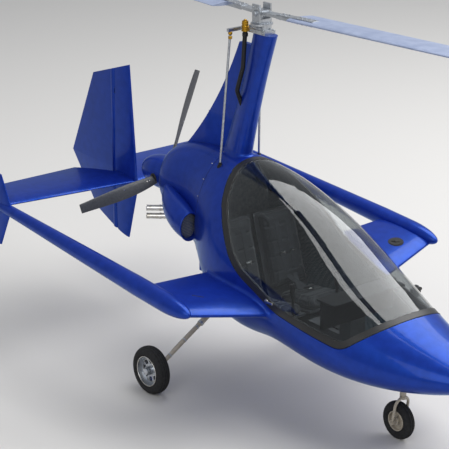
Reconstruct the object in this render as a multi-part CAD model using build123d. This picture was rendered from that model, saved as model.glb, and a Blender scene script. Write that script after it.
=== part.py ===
"""Two-seat cabin gyroplane with a pusher propeller, stub wings, twin tail booms and three fins.

Millimetres. X points forward, Y to port, Z up. The origin is on the ground under the rotor hub.
"""
import os
from collections import namedtuple
from math import atan2, cos, degrees, radians, sin

from build123d import *

os.makedirs("parts", exist_ok=True)

# Clearances and fits
moving_gap = 6.0        # between pieces that move past each other
running_fit = 0.05      # radial play of a shaft in its bore
seat_gap = 0.3          # between curved faces of pieces that are bonded together

# Aerofoils: place of the thickest point, and where a hollow one's core ends, as shares of the chord
aerofoil_crest = 0.3
core_end = 0.8

# Pod: the cabin, nose and engine cowling are one smooth body
skin = 16.0             # sandwich skin of the pod
pod_reach = 900.0       # half width of blocks that cut right across the pod
firewall_x = -330.0
firewall_t = 15.0
Station = namedtuple("Station", "x half_width bottom middle top")
pod_stations = [
    Station(2400, 40, 655, 690, 730),
    Station(2230, 185, 590, 685, 800),
    Station(1900, 345, 495, 675, 905),
    Station(1480, 480, 432, 700, 1062),
    Station(1000, 550, 435, 790, 1335),
    Station(500, 560, 460, 890, 1590),
    Station(0, 535, 505, 965, 1722),
    Station(-220, 445, 622, 1085, 1742),
    Station(-450, 332, 770, 1235, 1745),
    Station(-850, 250, 1000, 1335, 1690),
    Station(-1060, 168, 1186, 1366, 1580),
]
belly_seam_z = 640.0    # the lower shell ends here and the upper shell begins

# Canopy: side-view outline of the opening, with the radius at each corner
OutlineCorner = namedtuple("OutlineCorner", "x z radius")
canopy_outline = [
    OutlineCorner(-105, 1950, 0),
    OutlineCorner(-105, 1690, 80),
    OutlineCorner(20, 1470, 600),
    OutlineCorner(330, 1090, 600),
    OutlineCorner(800, 890, 800),
    OutlineCorner(1440, 775, 150),
    OutlineCorner(1720, 1010, 40),
    OutlineCorner(1720, 1950, 0),
]
canopy_frame_band = 48.0
canopy_frame_t = 20.0
glass_recess = 3.0
glass_t = 5.0
canopy_hinge_y = 600.0
canopy_hinge_z = 892.0
canopy_hinge_xs = (850.0, 1120.0)
canopy_hinge_length = 60.0
canopy_hinge_foot = 50.0
canopy_pin_r = 6.0

# Rotor mast: level sections of the fairing, and the side view of the rear gusset
MastStation = namedtuple("MastStation", "z rear front half_thickness")
mast_stations = [
    MastStation(1600, -470, -170, 78),
    MastStation(2120, -262, -42, 66),
    MastStation(2725, -70, 158, 56),
]
gusset_half_t = 20.0
gusset_foot_x = -920.0
gusset_foot_z = 1640.0
gusset_top = (-235.0, 2620.0)
gusset_bow = 70.0       # how far the trailing edge bends forward of a straight line

# Rotor head and two-blade teetering rotor, parked fore and aft
head_base_z = mast_stations[-1].z
head_base = (190.0, 104.0, 30.0)
head_block = (120.0, 84.0, 30.0)
spindle_r = 20.0
hub_disc_r = 84.0
hub_disc_t = 12.0
hub_height = 40.0
tower_t = 14.0
tower_width = 84.0
tower_height = 110.0
teeter_height = 45.0
tower_gap = 92.0
teeter_bolt_r = 10.0
teeter_bolt_spare = 15.0
hub_bar_width = 74.0
hub_bar_t = 22.0
hub_block_play = 4.0
rotor_r = 4150.0
blade_root_r = 360.0
blade_chord = 255.0
blade_t = 30.0
cone_angle = 1.6
blade_quarter_chord = 0.3

# Control rods beside the mast, and the drive that spins the rotor up
rod_r = 9.0
rod_foot = (-255.0, 195.0, 1640.0)
rod_top = (-186.0, 150.0, 2724.0)
yoke_t = 24.0
drive_r = 24.0
drive_link_r = 14.0
drive_length = 78.0
drive_place = (-118.0, -62.0)
drive_lift = 25.0
flex_r = 17.0
flex_bows = ((0.0, -20.0, 350.0), (-60.0, -28.0, 160.0), (-62.0, 40.0, 0.0))
flex_low_z = 2100.0
flex_bend_r = 70.0

# Stub wings: root inside the pod, tip inside the boom
wing_root_y = 330.0
wing_root_le = (812.0, 806.0)
wing_root_te = (-20.0, 935.0)
wing_root_t = 112.0
wing_tip_le = (630.0, 972.0)
wing_tip_te = (132.0, 1052.0)
wing_tip_t = 78.0
fuel_cap_r = 52.0
fuel_cap_height = 6.0
fuel_cap_y = 975.0
fuel_cap_chord_share = 0.32
tie_down_y = 900.0
tie_down_chord_share = 0.62
tie_down_r = 8.0
tie_down_plate = (56.0, 12.0, 62.0)

# Booms
boom_y = 1232.0
boom_tip = (690.0, 993.0)
boom_slope = 4.32
boom_length = 2850.0
boom_nose_length = 300.0
boom_full_length = 620.0
boom_r = 74.0
boom_tail_r = 34.0
boom_wall = 4.0

# Tail
stab_le_centre_x = -1596.0
stab_le_tip_x = -1728.0
stab_te_x = -2138.0
stab_t = 58.0
stab_tip_t = 42.0
tail_skin = 5.0
stab_core_ys = (240.0, 1150.0)
notch_front_half = 60.0
notch_rear_half = 290.0
notch_over = 60.0
FinStation = namedtuple("FinStation", "z le te thickness")
centre_fin_stations = [
    FinStation(640, -1714, -2050, 46),
    FinStation(1113, -1581, -2421, 76),
    FinStation(1237, -1590, -2518, 78),
    FinStation(2170, -1670, -2103, 48),
]
fin_top_cut = ((-1668.0, 2152.0), (-2185.0, 1986.0))
fin_bottom_cut = ((-1713.0, 643.0), (-2180.0, 805.0))
outer_fin_stations = [
    FinStation(846, -1765, -1905, 26),
    FinStation(1190, -1592, -2168, 46),
    FinStation(1440, -1724, -2172, 34),
]
rudder_hinge_x = -1880.0
rudder_low_z = 300.0
rudder_top_z = 2400.0
rudder_nose_r = 33.0
rudder_lug_zs = (900.0, 1480.0, 1900.0)
rudder_lug_height = 34.0
rudder_pin_r = 7.0
rudder_lug_r = 15.0
rudder_slot_half = 24.0
rudder_neck_half = 5.0

# Engine and propeller
prop_z = 1346.0
engine_front_x = firewall_x - firewall_t
engine_pad_length = 60.0
engine_pad_r = 28.0
engine_block = (420.0, 260.0, 240.0)
engine_drop = 140.0
prop_shaft_r = 25.0
prop_x = -1180.0
spinner_front_x = -1075.0
cowl_exit_r = 140.0
spinner_r = 138.0
spinner_skirt = 30.0
spinner_wall = 6.0
spinner_tip_x = -1463.0
hub_bore_depth = 110.0
prop_blade_count = 3
prop_phase = 67.5
PropStation = namedtuple("PropStation", "r chord thickness pitch")
prop_stations = [
    PropStation(90, 62, 40, 62),
    PropStation(250, 96, 24, 42),
    PropStation(560, 102, 15, 24),
    PropStation(868, 74, 8, 16),
]
exhaust_r = 23.0
exhaust_wall = 2.5
exhaust_droop = 14.0
exhaust_rows_z = (1168.0, 1100.0)
exhaust_inner = (-790.0, 105.0)
exhaust_tip = (-1030.0, 318.0)

# Cheek scoops and belly outlet
ScoopStation = namedtuple("ScoopStation", "x y z half_width half_height")
scoop_stations = [
    ScoopStation(-335, 425, 1205, 95, 112),
    ScoopStation(-560, 368, 1248, 112, 116),
    ScoopStation(-860, 236, 1336, 50, 48),
]
scoop_skin = 8.0
outlet_box = (150.0, 260.0, 190.0)
outlet_x = -520.0
outlet_low_z = 705.0
outlet_skin = 8.0

# Main gear
main_axle_x = -200.0
half_track = 914.0
main_tyre_r = 190.0
main_tyre_width = 112.0
main_tyre_shoulder = 40.0
main_rim_r = 120.0
main_rim_width = 92.0
main_hub_r = 34.0
rim_wall = 7.0
rim_slot_count = 8
main_axle_r = 15.0
leg_r = 17.0
leg_sleeve_r = 23.0
leg_sleeve_y = 430.0
leg_foot_y = 838.0
leg_top_y = 60.0
leg_rise = 0.627
knuckle_half = 26.0
knuckle_top = 34.0
axle_end = 12.0

# Nose gear
nose_steer_x = 1600.0
nose_axle_x = 1566.0
nose_tyre_r = 145.0
nose_tyre_width = 84.0
nose_tyre_shoulder = 32.0
nose_rim_r = 76.0
nose_rim_width = 64.0
nose_hub_r = 26.0
nose_axle_r = 11.0
tow_bore_r = 6.0
fork_tube_r = 11.0
fork_arm_gap = 12.0
fork_boss_r = 18.0
nose_axle_end = 4.0
strut_r = 24.0
stem_r = 15.0
strut_low_z = 352.0
strut_top_z = 640.0
stem_length = 60.0

# Cabin
floor_z = 530.0
floor_t = 14.0
floor_front_x = 1640.0
seat_y = 222.0
seat_width = 400.0
seat_shell_t = 18.0
cushion_t = 85.0
cushion_margin = 15.0
pillar_inset = 50.0
seat_front = (560.0, 668.0)
seat_heel = (90.0, 604.0)
seat_head = (-118.0, 1270.0)
panel_x = 1085.0
panel_size = (26.0, 700.0, 210.0)
panel_low_z = 790.0
panel_hood_length = 150.0
panel_hood_lip = 40.0
panel_hood_t = 14.0
console_width = 150.0
console_rear_x = 640.0
console_height = 120.0
console_column = 90.0
stick_x = 640.0
stick_r = 11.0
stick_height = 330.0
stick_grip_r = 19.0
stick_grip_height = 110.0
stick_lean = 14.0
pedal_x = 1400.0
pedal_size = (16.0, 78.0, 120.0)
pedal_arm_r = 9.0
pedal_low_z = 590.0
pedal_spread = 75.0


def oval(station, inset):
    """Pod cross-section: four quarter ellipses that meet at its widest level."""
    width = station.half_width - inset
    upper = station.top - station.middle - inset
    lower = station.middle - station.bottom - inset
    quarters = [
        EllipticalCenterArc((0, 0), width, upper, start_angle=0, arc_size=90),
        EllipticalCenterArc((0, 0), width, upper, start_angle=90, arc_size=90),
        EllipticalCenterArc((0, 0), width, lower, start_angle=180, arc_size=90),
        EllipticalCenterArc((0, 0), width, lower, start_angle=270, arc_size=90),
    ]
    place = Plane(origin=(station.x, 0, station.middle), x_dir=(0, 1, 0), z_dir=(1, 0, 0))
    return place * make_face(quarters)


def pod(inset):
    """The pod's solid with its surface moved in by inset."""
    first, last = pod_stations[0], pod_stations[-1]
    rows = [first._replace(x=first.x - inset)] + pod_stations[1:-1] + [last._replace(x=last.x + inset)]
    return loft([oval(row, inset) for row in rows])


def canopy_block(shrink):
    """The canopy outline, made smaller by shrink, as a block right across the pod."""
    corners = [(c.x, c.z) for c in canopy_outline]
    outline = FilletPolyline(*corners, radius=[c.radius for c in canopy_outline], close=True)
    face = make_face(outline)
    if shrink:
        face = offset(face, amount=-shrink, kind=Kind.INTERSECTION)
    return extrude(Plane.XZ * face, amount=pod_reach, both=True)


def aerofoil(chord, thickness, blunt=4.0, inset=0.0):
    """Symmetrical section from its leading edge at 0 to its trailing edge at chord; inset gives its core."""
    crest = aerofoil_crest * chord
    half = thickness / 2
    tail = min(blunt / 2, half)
    end = chord
    if inset:
        end = core_end * chord
        fall = (core_end - aerofoil_crest) / (1 - aerofoil_crest)
        tail = half - (half - tail) * fall ** 2 - inset
        half -= inset
    edges = [
        EllipticalCenterArc((crest, 0), crest - inset, half, start_angle=90, arc_size=90),
        EllipticalCenterArc((crest, 0), crest - inset, half, start_angle=180, arc_size=90),
        TangentArc((crest, -half), (end, -tail), tangent=(1, 0)),
        Line((end, -tail), (end, tail)),
        TangentArc((crest, half), (end, tail), tangent=(1, 0)),
    ]
    return make_face(edges)


def between(start, end, radius):
    """A round bar from one point to another."""
    start, end = Vector(start), Vector(end)
    run = end - start
    return Plane(origin=start, z_dir=run) * Cylinder(
        radius, run.length, align=(Align.CENTER, Align.CENTER, Align.MIN))


def bar_along(axis, radius, length, place):
    """A round bar of a given length centred at a place, along X, Y or Z."""
    turn = {"X": (0, 90, 0), "Y": (90, 0, 0), "Z": (0, 0, 0)}[axis]
    return Location(place) * Rotation(*turn) * Cylinder(radius, length)


def box_from(low, high):
    """A box between two opposite corners."""
    size = [b - a for a, b in zip(low, high)]
    middle = [(a + b) / 2 for a, b in zip(low, high)]
    return Location(tuple(middle)) * Box(*size)


def half_space(point, normal, size=9000.0):
    """A large block on the side of a plane that its normal points to."""
    return Plane(origin=point, z_dir=normal) * Box(
        size, size, size, align=(Align.CENTER, Align.CENTER, Align.MIN))


def mirrored(shape):
    """The mirror image of a piece on the other side."""
    return mirror(shape, about=Plane.XZ)


def boom_axis_z(x):
    """Height of the boom's axis, which rises towards the tail."""
    return boom_tip[1] + (boom_tip[0] - x) * sin(radians(boom_slope)) / cos(radians(boom_slope))


# Pod skins
pod_outer = pod(0)
pod_inner = pod(skin)
pod_hollow = pod_outer - pod_inner
ahead = half_space((firewall_x, 0, 0), (1, 0, 0))
aft = half_space((firewall_x, 0, 0), (-1, 0, 0))
belly = half_space((0, 0, belly_seam_z), (0, 0, -1))
pod_whole = (pod_hollow & ahead) - canopy_block(-moving_gap)
pod_shell = pod_whole - belly
pod_belly = pod_whole & belly
engine_cowl = pod_hollow & aft

# Canopy
canopy_inner = pod(canopy_frame_t)
canopy_skin = (pod_outer - canopy_inner) & canopy_block(0)
canopy_frame = canopy_skin - canopy_block(canopy_frame_band)
glass_outer = pod(glass_recess)
glass_inner = pod(glass_recess + glass_t)
canopy_glass = (glass_outer - glass_inner) & canopy_block(canopy_frame_band + seat_gap)


def canopy_sill_z(x):
    """Height of the canopy's straight lower edge at a place along it."""
    rear, front = canopy_outline[4], canopy_outline[5]
    return rear.z + (front.z - rear.z) * (x - rear.x) / (front.x - rear.x)


def canopy_hinge(x):
    """One hinge on the port sill: the canopy's bored knuckle, and the pod's foot with its pin."""
    half = canopy_hinge_length / 2
    barrel_r = canopy_pin_r * 2
    sill_z = canopy_sill_z(x)
    knuckle_x = x + moving_gap / 2
    foot_x = x - moving_gap / 2
    knuckle_end = (knuckle_x + half, canopy_hinge_y, canopy_hinge_z)
    foot_end = (foot_x - half, canopy_hinge_y, canopy_hinge_z)
    knuckle = box_from((knuckle_x, 0, sill_z + moving_gap),
                       (knuckle_x + half, canopy_hinge_y, canopy_hinge_z + barrel_r))
    knuckle += between((knuckle_x, canopy_hinge_y, canopy_hinge_z), knuckle_end, barrel_r)
    knuckle -= between(foot_end, knuckle_end, canopy_pin_r + running_fit)
    foot = box_from((foot_x - half, 0, sill_z - canopy_hinge_foot),
                    (foot_x, canopy_hinge_y + barrel_r, sill_z - 2 * moving_gap))
    foot += box_from((foot_x - half, canopy_hinge_y - barrel_r, sill_z - canopy_hinge_foot),
                     (foot_x, canopy_hinge_y + barrel_r, canopy_hinge_z + barrel_r))
    foot += between(foot_end, knuckle_end, canopy_pin_r)
    return knuckle - pod_outer, foot - pod_outer


canopy_hinges = [canopy_hinge(x) for x in canopy_hinge_xs]

# Rotor mast
mast_faces = []
for row in mast_stations:
    chord = row.front - row.rear
    place = Plane(origin=(row.front, 0, row.z), x_dir=(-1, 0, 0), z_dir=(0, 0, 1))
    mast_faces.append(place * aerofoil(chord, row.half_thickness * 2, blunt=row.half_thickness * 0.7))
mast_pylon = loft(mast_faces) - pod_outer

gusset_middle = ((gusset_foot_x + gusset_top[0]) / 2 + gusset_bow, (gusset_foot_z + gusset_top[1]) / 2)
gusset_front = (mast_stations[-1].rear + 40, gusset_top[1])
gusset_edges = [
    ThreePointArc((gusset_foot_x, gusset_foot_z), gusset_middle, gusset_top),
    Line(gusset_top, gusset_front),
    Line(gusset_front, (mast_stations[0].front, gusset_foot_z)),
    Line((mast_stations[0].front, gusset_foot_z), (gusset_foot_x, gusset_foot_z)),
]
gusset_plate = extrude(Plane.XZ * make_face(gusset_edges), amount=gusset_half_t, both=True)
mast_gusset = gusset_plate - loft(mast_faces) - pod_outer

# Rotor head
head_low = box_from((-head_base[0] / 2, -head_base[1] / 2, head_base_z),
                    (head_base[0] / 2, head_base[1] / 2, head_base_z + head_base[2]))
head_block_z = head_base_z + head_base[2]
head_high = box_from((-head_block[0] / 2, -head_block[1] / 2, head_block_z),
                     (head_block[0] / 2, head_block[1] / 2, head_block_z + head_block[2]))
hub_low_z = head_block_z + head_block[2] + moving_gap
spindle_top_z = hub_low_z + hub_height
spindle = between((0, 0, head_block_z), (0, 0, spindle_top_z), spindle_r)
rotor_head = head_low + head_high + spindle

tower_low_z = spindle_top_z + moving_gap
tower_outer_y = tower_gap / 2 + tower_t
rotor_hub = box_from((-tower_width / 2, -tower_outer_y, hub_low_z),
                     (tower_width / 2, tower_outer_y, tower_low_z + tower_height))
rotor_hub -= box_from((-tower_width, -tower_gap / 2, tower_low_z),
                      (tower_width, tower_gap / 2, tower_low_z + 2 * tower_height))
rotor_hub += between((0, 0, hub_low_z), (0, 0, hub_low_z + hub_disc_t), hub_disc_r)
rotor_hub -= between((0, 0, hub_low_z), (0, 0, spindle_top_z + moving_gap / 2), spindle_r + running_fit)
bar_z = tower_low_z + teeter_height
teeter_bolt_length = tower_gap + 2 * (tower_t + teeter_bolt_spare)
teeter_bolt = bar_along("Y", teeter_bolt_r, teeter_bolt_length, (0, 0, bar_z))
rotor_hub += teeter_bolt
hub_block_half = tower_gap / 2 - hub_block_play
hub_block = box_from((-tower_width / 2, -hub_block_half, bar_z - hub_bar_t),
                     (tower_width / 2, hub_block_half, bar_z + hub_bar_t))


def rotor_arm(heading):
    """Hub bar and blade on one side, raised by the cone angle; heading is 0 ahead and 180 aft."""
    lift = Location((0, 0, bar_z)) * Rotation(0, 0, heading) * Rotation(0, -cone_angle, 0)
    bar = lift * box_from((0, -hub_bar_width / 2, -hub_bar_t / 2),
                          (blade_root_r, hub_bar_width / 2, hub_bar_t / 2))
    section = aerofoil(blade_chord, blade_t)
    leading_edge = (blade_root_r, -blade_quarter_chord * blade_chord, 0)
    place = Plane(origin=leading_edge, x_dir=(0, 1, 0), z_dir=(1, 0, 0))
    blade = lift * extrude(place * section, amount=rotor_r - blade_root_r)
    return bar, blade


fore_bar, fore_blade = rotor_arm(0)
aft_bar, aft_blade = rotor_arm(180)
teeter_bar = hub_block + (fore_bar - hub_block) + (aft_bar - hub_block)
teeter_bar -= bar_along("Y", teeter_bolt_r + running_fit, teeter_bolt_length, (0, 0, bar_z))

# Control rods, their yoke and the rotor drive
yoke_z = rod_top[2]
yoke_half = rod_top[1] + yoke_t
yoke_high_z = yoke_z + yoke_t
yoke_arm_y = head_base[1] / 2 - yoke_t
control_yoke = box_from((rod_top[0] - yoke_t / 2, -yoke_half, yoke_z),
                        (rod_top[0] + yoke_t / 2, yoke_half, yoke_high_z))
yoke_arm = box_from((rod_top[0], yoke_arm_y, yoke_z), (-head_base[0] / 2, yoke_arm_y + yoke_t, yoke_high_z))
control_yoke = control_yoke + yoke_arm + mirrored(yoke_arm)
control_yoke -= mast_pylon
control_yoke -= gusset_plate
control_rods = []
for side in (-1, 1):
    foot = (rod_foot[0], side * rod_foot[1], rod_foot[2])
    top = (rod_top[0], side * rod_top[1], yoke_z)
    rod = between(foot, top, rod_r)
    rod &= half_space((0, 0, yoke_z), (0, 0, -1))
    control_rods.append(rod)
    pod_shell -= between(foot, top, rod_r + moving_gap)

drive_x, drive_y = drive_place
drive_link_z = head_base_z + head_base[2] / 2
drive_low_z = drive_link_z + drive_lift - drive_length / 2
drive_link_end = (-head_base[0] / 2, drive_y / 3, drive_link_z)
drive_top_z = drive_low_z + drive_length
rotor_drive = between((drive_x, drive_y, drive_low_z), (drive_x, drive_y, drive_top_z), drive_r)
rotor_drive += between((drive_x, drive_y, drive_link_z), drive_link_end, drive_link_r)
rotor_drive -= head_low
rotor_drive -= control_yoke

flex_path = FilletPolyline(
    (drive_x, drive_y, drive_low_z),
    *[(drive_x + dx, drive_y + dy, flex_low_z + dz) for dx, dy, dz in flex_bows],
    radius=flex_bend_r)
flex_start = Plane(origin=flex_path @ 0, z_dir=flex_path % 0)
drive_shaft = sweep(flex_start * Circle(flex_r), path=flex_path)
drive_shaft = drive_shaft - mast_pylon - gusset_plate - control_yoke - rotor_drive


def boom(inset):
    """Port boom: an elliptical nose, a full stretch past the wing, then a long taper to a round end."""
    full_r = boom_r - inset
    tail_r = boom_tail_r - inset
    tail_start = boom_length - boom_tail_r
    profile = [
        EllipticalCenterArc((boom_nose_length, 0), boom_nose_length - inset, full_r,
                            start_angle=90, arc_size=90),
        Line((boom_nose_length, full_r), (boom_full_length, full_r)),
        Line((boom_full_length, full_r), (tail_start, tail_r)),
        CenterArc((tail_start, 0), tail_r, start_angle=0, arc_size=90),
        Line((tail_start + tail_r, 0), (inset, 0)),
    ]
    body = revolve(make_face(profile), axis=Axis.X)
    rise = radians(boom_slope)
    place = Plane(origin=(boom_tip[0], boom_y, boom_tip[1]), x_dir=(-cos(rise), 0, sin(rise)),
                  z_dir=(sin(rise), 0, cos(rise)))
    return place * body


def spanwise(le, te, y, thickness, inset=0.0):
    """Aerofoil section at a span station, from its leading to its trailing edge as (x, z)."""
    chord = ((le[0] - te[0]) ** 2 + (le[1] - te[1]) ** 2) ** 0.5
    back = Vector(te[0] - le[0], 0, te[1] - le[1])
    place = Plane(origin=(le[0], y, le[1]), x_dir=back, z_dir=(0, 1, 0))
    return place * aerofoil(chord, thickness, inset=inset)


boom_round = boom(0)
boom_left = boom_round - boom(boom_wall)


def wing_place(y, chord_share):
    """A point on the port wing's chord plane, and half the section's thickness there."""
    span_share = (y - wing_root_y) / (boom_y - wing_root_y)
    le = [a + (b - a) * span_share for a, b in zip(wing_root_le, wing_tip_le)]
    te = [a + (b - a) * span_share for a, b in zip(wing_root_te, wing_tip_te)]
    x, z = [a + (b - a) * chord_share for a, b in zip(le, te)]
    crest_half = (wing_root_t + (wing_tip_t - wing_root_t) * span_share) / 2
    fall = max(chord_share - aerofoil_crest, 0) / (1 - aerofoil_crest)
    return x, z, crest_half * (1 - fall ** 2)


# Port wing with its filler cap and tie-down lug
wing_root = spanwise(wing_root_le, wing_root_te, wing_root_y, wing_root_t)
wing_tip = spanwise(wing_tip_le, wing_tip_te, boom_y, wing_tip_t)
wing_left = loft([wing_root, wing_tip], ruled=True) - pod_outer - boom_round
cap_x, cap_z, cap_half_t = wing_place(fuel_cap_y, fuel_cap_chord_share)
dihedral = degrees(atan2(wing_tip_le[1] - wing_root_le[1], boom_y - wing_root_y))
incidence = degrees(atan2(wing_tip_te[1] - wing_tip_le[1], wing_tip_le[0] - wing_tip_te[0]))
cap_plane = Location((cap_x, fuel_cap_y, cap_z)) * Rotation(dihedral, incidence, 0)
cap_disc = cap_plane * between((0, 0, 0), (0, 0, cap_half_t + fuel_cap_height), fuel_cap_r)
fuel_cap = cap_disc - wing_left
lug_x, lug_y, lug_z = tie_down_plate
tie_x, tie_chord_z, tie_half_t = wing_place(tie_down_y, tie_down_chord_share)
tie_low_z = tie_chord_z - tie_half_t - lug_z
tie_down = box_from((tie_x - lug_x / 2, tie_down_y - lug_y / 2, tie_low_z),
                    (tie_x + lug_x / 2, tie_down_y + lug_y / 2, tie_chord_z))
tie_down -= bar_along("Y", tie_down_r, lug_y * 3, (tie_x, tie_down_y, tie_low_z + lug_z / 2))
tie_down -= wing_left

# Tailplane on the booms, notched for the rudder
stab_tip_le = (stab_le_tip_x, boom_axis_z(stab_le_tip_x))
stab_tip_te = (stab_te_x, boom_axis_z(stab_te_x))
stab_mid_le = (stab_le_centre_x, boom_axis_z(stab_le_centre_x))
stab_half = loft([
    spanwise(stab_mid_le, stab_tip_te, 0, stab_t),
    spanwise(stab_tip_le, stab_tip_te, boom_y, stab_tip_t),
], ruled=True)
stab_core_faces = []
for y in stab_core_ys:
    share = y / boom_y
    core_le = [a + (b - a) * share for a, b in zip(stab_mid_le, stab_tip_le)]
    core_t = stab_t + (stab_tip_t - stab_t) * share
    stab_core_faces.append(spanwise(core_le, stab_tip_te, y, core_t, inset=tail_skin))
stab_half -= loft(stab_core_faces, ruled=True)
fin_rear_x = rudder_hinge_x + rudder_nose_r + moving_gap
notch_rear_x = stab_te_x - notch_over
notch_face = make_face(Polyline(
    (fin_rear_x, -notch_front_half), (fin_rear_x, notch_front_half),
    (notch_rear_x, notch_rear_half), (notch_rear_x, -notch_rear_half), close=True))
notch = extrude(notch_face, amount=rudder_top_z)
tailplane = (stab_half + mirrored(stab_half)) - notch - boom_round - mirrored(boom_round)


def fin(stations, inset=0.0):
    """Fin on the centre plane: level aerofoil sections joined by straight sides; inset gives its core."""
    faces = []
    for row in stations:
        place = Plane(origin=(row.le, 0, row.z), x_dir=(-1, 0, 0), z_dir=(0, 0, 1))
        faces.append(place * aerofoil(row.le - row.te, row.thickness, inset=inset))
    return loft(faces, ruled=True)


def trim(shape, margin):
    """A fin's shape kept between its slanting top and bottom edges, less a margin."""
    for edge, outward in ((fin_top_cut, 1), (fin_bottom_cut, -1)):
        (x1, z1), (x2, z2) = edge
        normal = (outward * (z2 - z1), 0, outward * (x1 - x2))
        shape -= half_space((x1, 0, z1 - outward * margin), normal)
    return shape


# Centre fin and rudder
fin_whole = trim(fin(centre_fin_stations), 0)
fin_fixed = fin_whole & half_space((fin_rear_x, 0, 0), (1, 0, 0))
fin_above = half_space((0, 0, boom_axis_z(rudder_hinge_x)), (0, 0, 1))
fin_fixed -= tailplane
rudder_nose = between((rudder_hinge_x, 0, rudder_low_z), (rudder_hinge_x, 0, rudder_top_z), rudder_nose_r)
rudder_nose = trim(rudder_nose, 0)
rudder = (fin_whole & half_space((rudder_hinge_x, 0, 0), (-1, 0, 0))) + rudder_nose
rudder_core_x = rudder_hinge_x - rudder_nose_r - tail_skin
rudder_core = fin(centre_fin_stations, inset=tail_skin) & half_space((rudder_core_x, 0, 0), (-1, 0, 0))
rudder -= trim(rudder_core, 3 * tail_skin)
hinge_lugs = []
for z in rudder_lug_zs:
    slot_low = z - rudder_lug_height / 2 - moving_gap
    slot_high = z + rudder_lug_height / 2 + moving_gap
    reach = rudder_lug_r + moving_gap
    slot = box_from((rudder_hinge_x - reach, -rudder_slot_half, slot_low),
                    (rudder_hinge_x + reach * 2, rudder_slot_half, slot_high))
    pin = between((rudder_hinge_x, 0, slot_low), (rudder_hinge_x, 0, slot_high), rudder_pin_r)
    rudder = (rudder - slot) + pin
    lug_low = z - rudder_lug_height / 2
    lug_high = z + rudder_lug_height / 2
    lug = between((rudder_hinge_x, 0, lug_low), (rudder_hinge_x, 0, lug_high), rudder_lug_r)
    lug += box_from((rudder_hinge_x, -rudder_neck_half, lug_low), (fin_rear_x, rudder_neck_half, lug_high))
    lug -= between((rudder_hinge_x, 0, slot_low), (rudder_hinge_x, 0, slot_high), rudder_pin_r + running_fit)
    hinge_lugs.append(lug)
for lug in hinge_lugs:
    fin_fixed += lug
fin_upper = fin_fixed & fin_above
fin_lower = fin_fixed - fin_above

outer_fin = Location((0, boom_y, 0)) * fin(outer_fin_stations) - boom_round - tailplane

# Engine, exhausts and propeller
engine_rear_x = engine_front_x - engine_pad_length - engine_block[0]
engine_top_z = prop_z - engine_drop + engine_block[2] / 2
engine = box_from((engine_rear_x, -engine_block[1] / 2, engine_top_z - engine_block[2]),
                  (engine_front_x - engine_pad_length, engine_block[1] / 2, engine_top_z))
pad_y = engine_block[1] / 2 - engine_pad_r * 1.5
pad_z = engine_block[2] / 2 - engine_pad_r * 1.5
for y in (-pad_y, pad_y):
    for z in (-pad_z, pad_z):
        centre = prop_z - engine_drop + z
        pad_end = (engine_front_x - engine_pad_length, y, centre)
        engine += between((engine_front_x, y, centre), pad_end, engine_pad_r)
gearbox_r = prop_shaft_r * 3
cowl_end_x = pod_stations[-1].x
engine += between((engine_rear_x, 0, prop_z), (cowl_end_x + skin + moving_gap, 0, prop_z), gearbox_r)
engine += between((engine_rear_x, 0, prop_z), (spinner_front_x - hub_bore_depth, 0, prop_z), prop_shaft_r)
engine_cowl -= bar_along("X", cowl_exit_r, skin * 4, (cowl_end_x, 0, prop_z))

exhausts = []
for z in exhaust_rows_z:
    inner = (exhaust_inner[0], exhaust_inner[1], z)
    tip = (exhaust_tip[0], exhaust_tip[1], z - exhaust_droop)
    pipe = between(inner, tip, exhaust_r) - between(inner, tip, exhaust_r - exhaust_wall)
    exhausts.append(pipe - engine)
    hole = between(inner, tip, exhaust_r + moving_gap)
    engine_cowl = engine_cowl - hole - mirrored(hole)

spinner_skirt_x = prop_x - spinner_skirt
spinner_length = spinner_skirt_x - spinner_tip_x


def spinner_cone(inset):
    """The spinner's half ellipse behind its skirt, its surface moved in by inset."""
    base_x = spinner_skirt_x - inset
    arc = EllipticalCenterArc((base_x, 0), spinner_length - 2 * inset, spinner_r - inset,
                              start_angle=90, arc_size=90)
    half = make_face([arc, Line(arc @ 1, (base_x, 0)), Line((base_x, 0), arc @ 0)])
    return Location((0, 0, prop_z)) * revolve(Plane.XZ * half, axis=Axis.X)


shaft_end_x = spinner_front_x - hub_bore_depth
spinner_whole = between((spinner_front_x, 0, prop_z), (spinner_skirt_x, 0, prop_z), spinner_r)
spinner_whole += spinner_cone(0)
spinner = spinner_whole - between((spinner_front_x, 0, prop_z), (shaft_end_x, 0, prop_z),
                                  prop_shaft_r + running_fit)
spinner -= spinner_cone(spinner_wall)


def prop_blade():
    """One blade along +Y: aerofoil sections turned by their pitch, then trimmed to the spinner."""
    faces = []
    for row in prop_stations:
        lean = radians(row.pitch)
        along = Vector(sin(lean), 0, cos(lean))
        origin = Vector(prop_x, row.r, 0) - along * (aerofoil_crest * row.chord)
        place = Plane(origin=origin, x_dir=along, z_dir=(0, 1, 0))
        faces.append(place * aerofoil(row.chord, row.thickness, blunt=2.0))
    return loft(faces)


prop_blades = []
for index in range(prop_blade_count):
    angle = prop_phase + index * 360 / prop_blade_count
    turned = Location((0, 0, prop_z)) * Rotation(angle, 0, 0) * prop_blade()
    prop_blades.append(turned - spinner_whole)


# Cheek scoops: hollow half bulges with their mouths ahead
def scoop(inset):
    """A bulge along the cowling's port cheek, its surface moved in by inset."""
    faces = []
    for row in scoop_stations:
        place = Plane(origin=(row.x, row.y, row.z), x_dir=(0, 1, 0), z_dir=(1, 0, 0))
        faces.append(place * Ellipse(row.half_width - inset, row.half_height - inset))
    return loft(faces)


cheek_scoop = scoop(0) - scoop(scoop_skin) - pod_outer
throat = scoop(scoop_skin + seat_gap)
engine_cowl = engine_cowl - throat - mirrored(throat)

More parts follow.
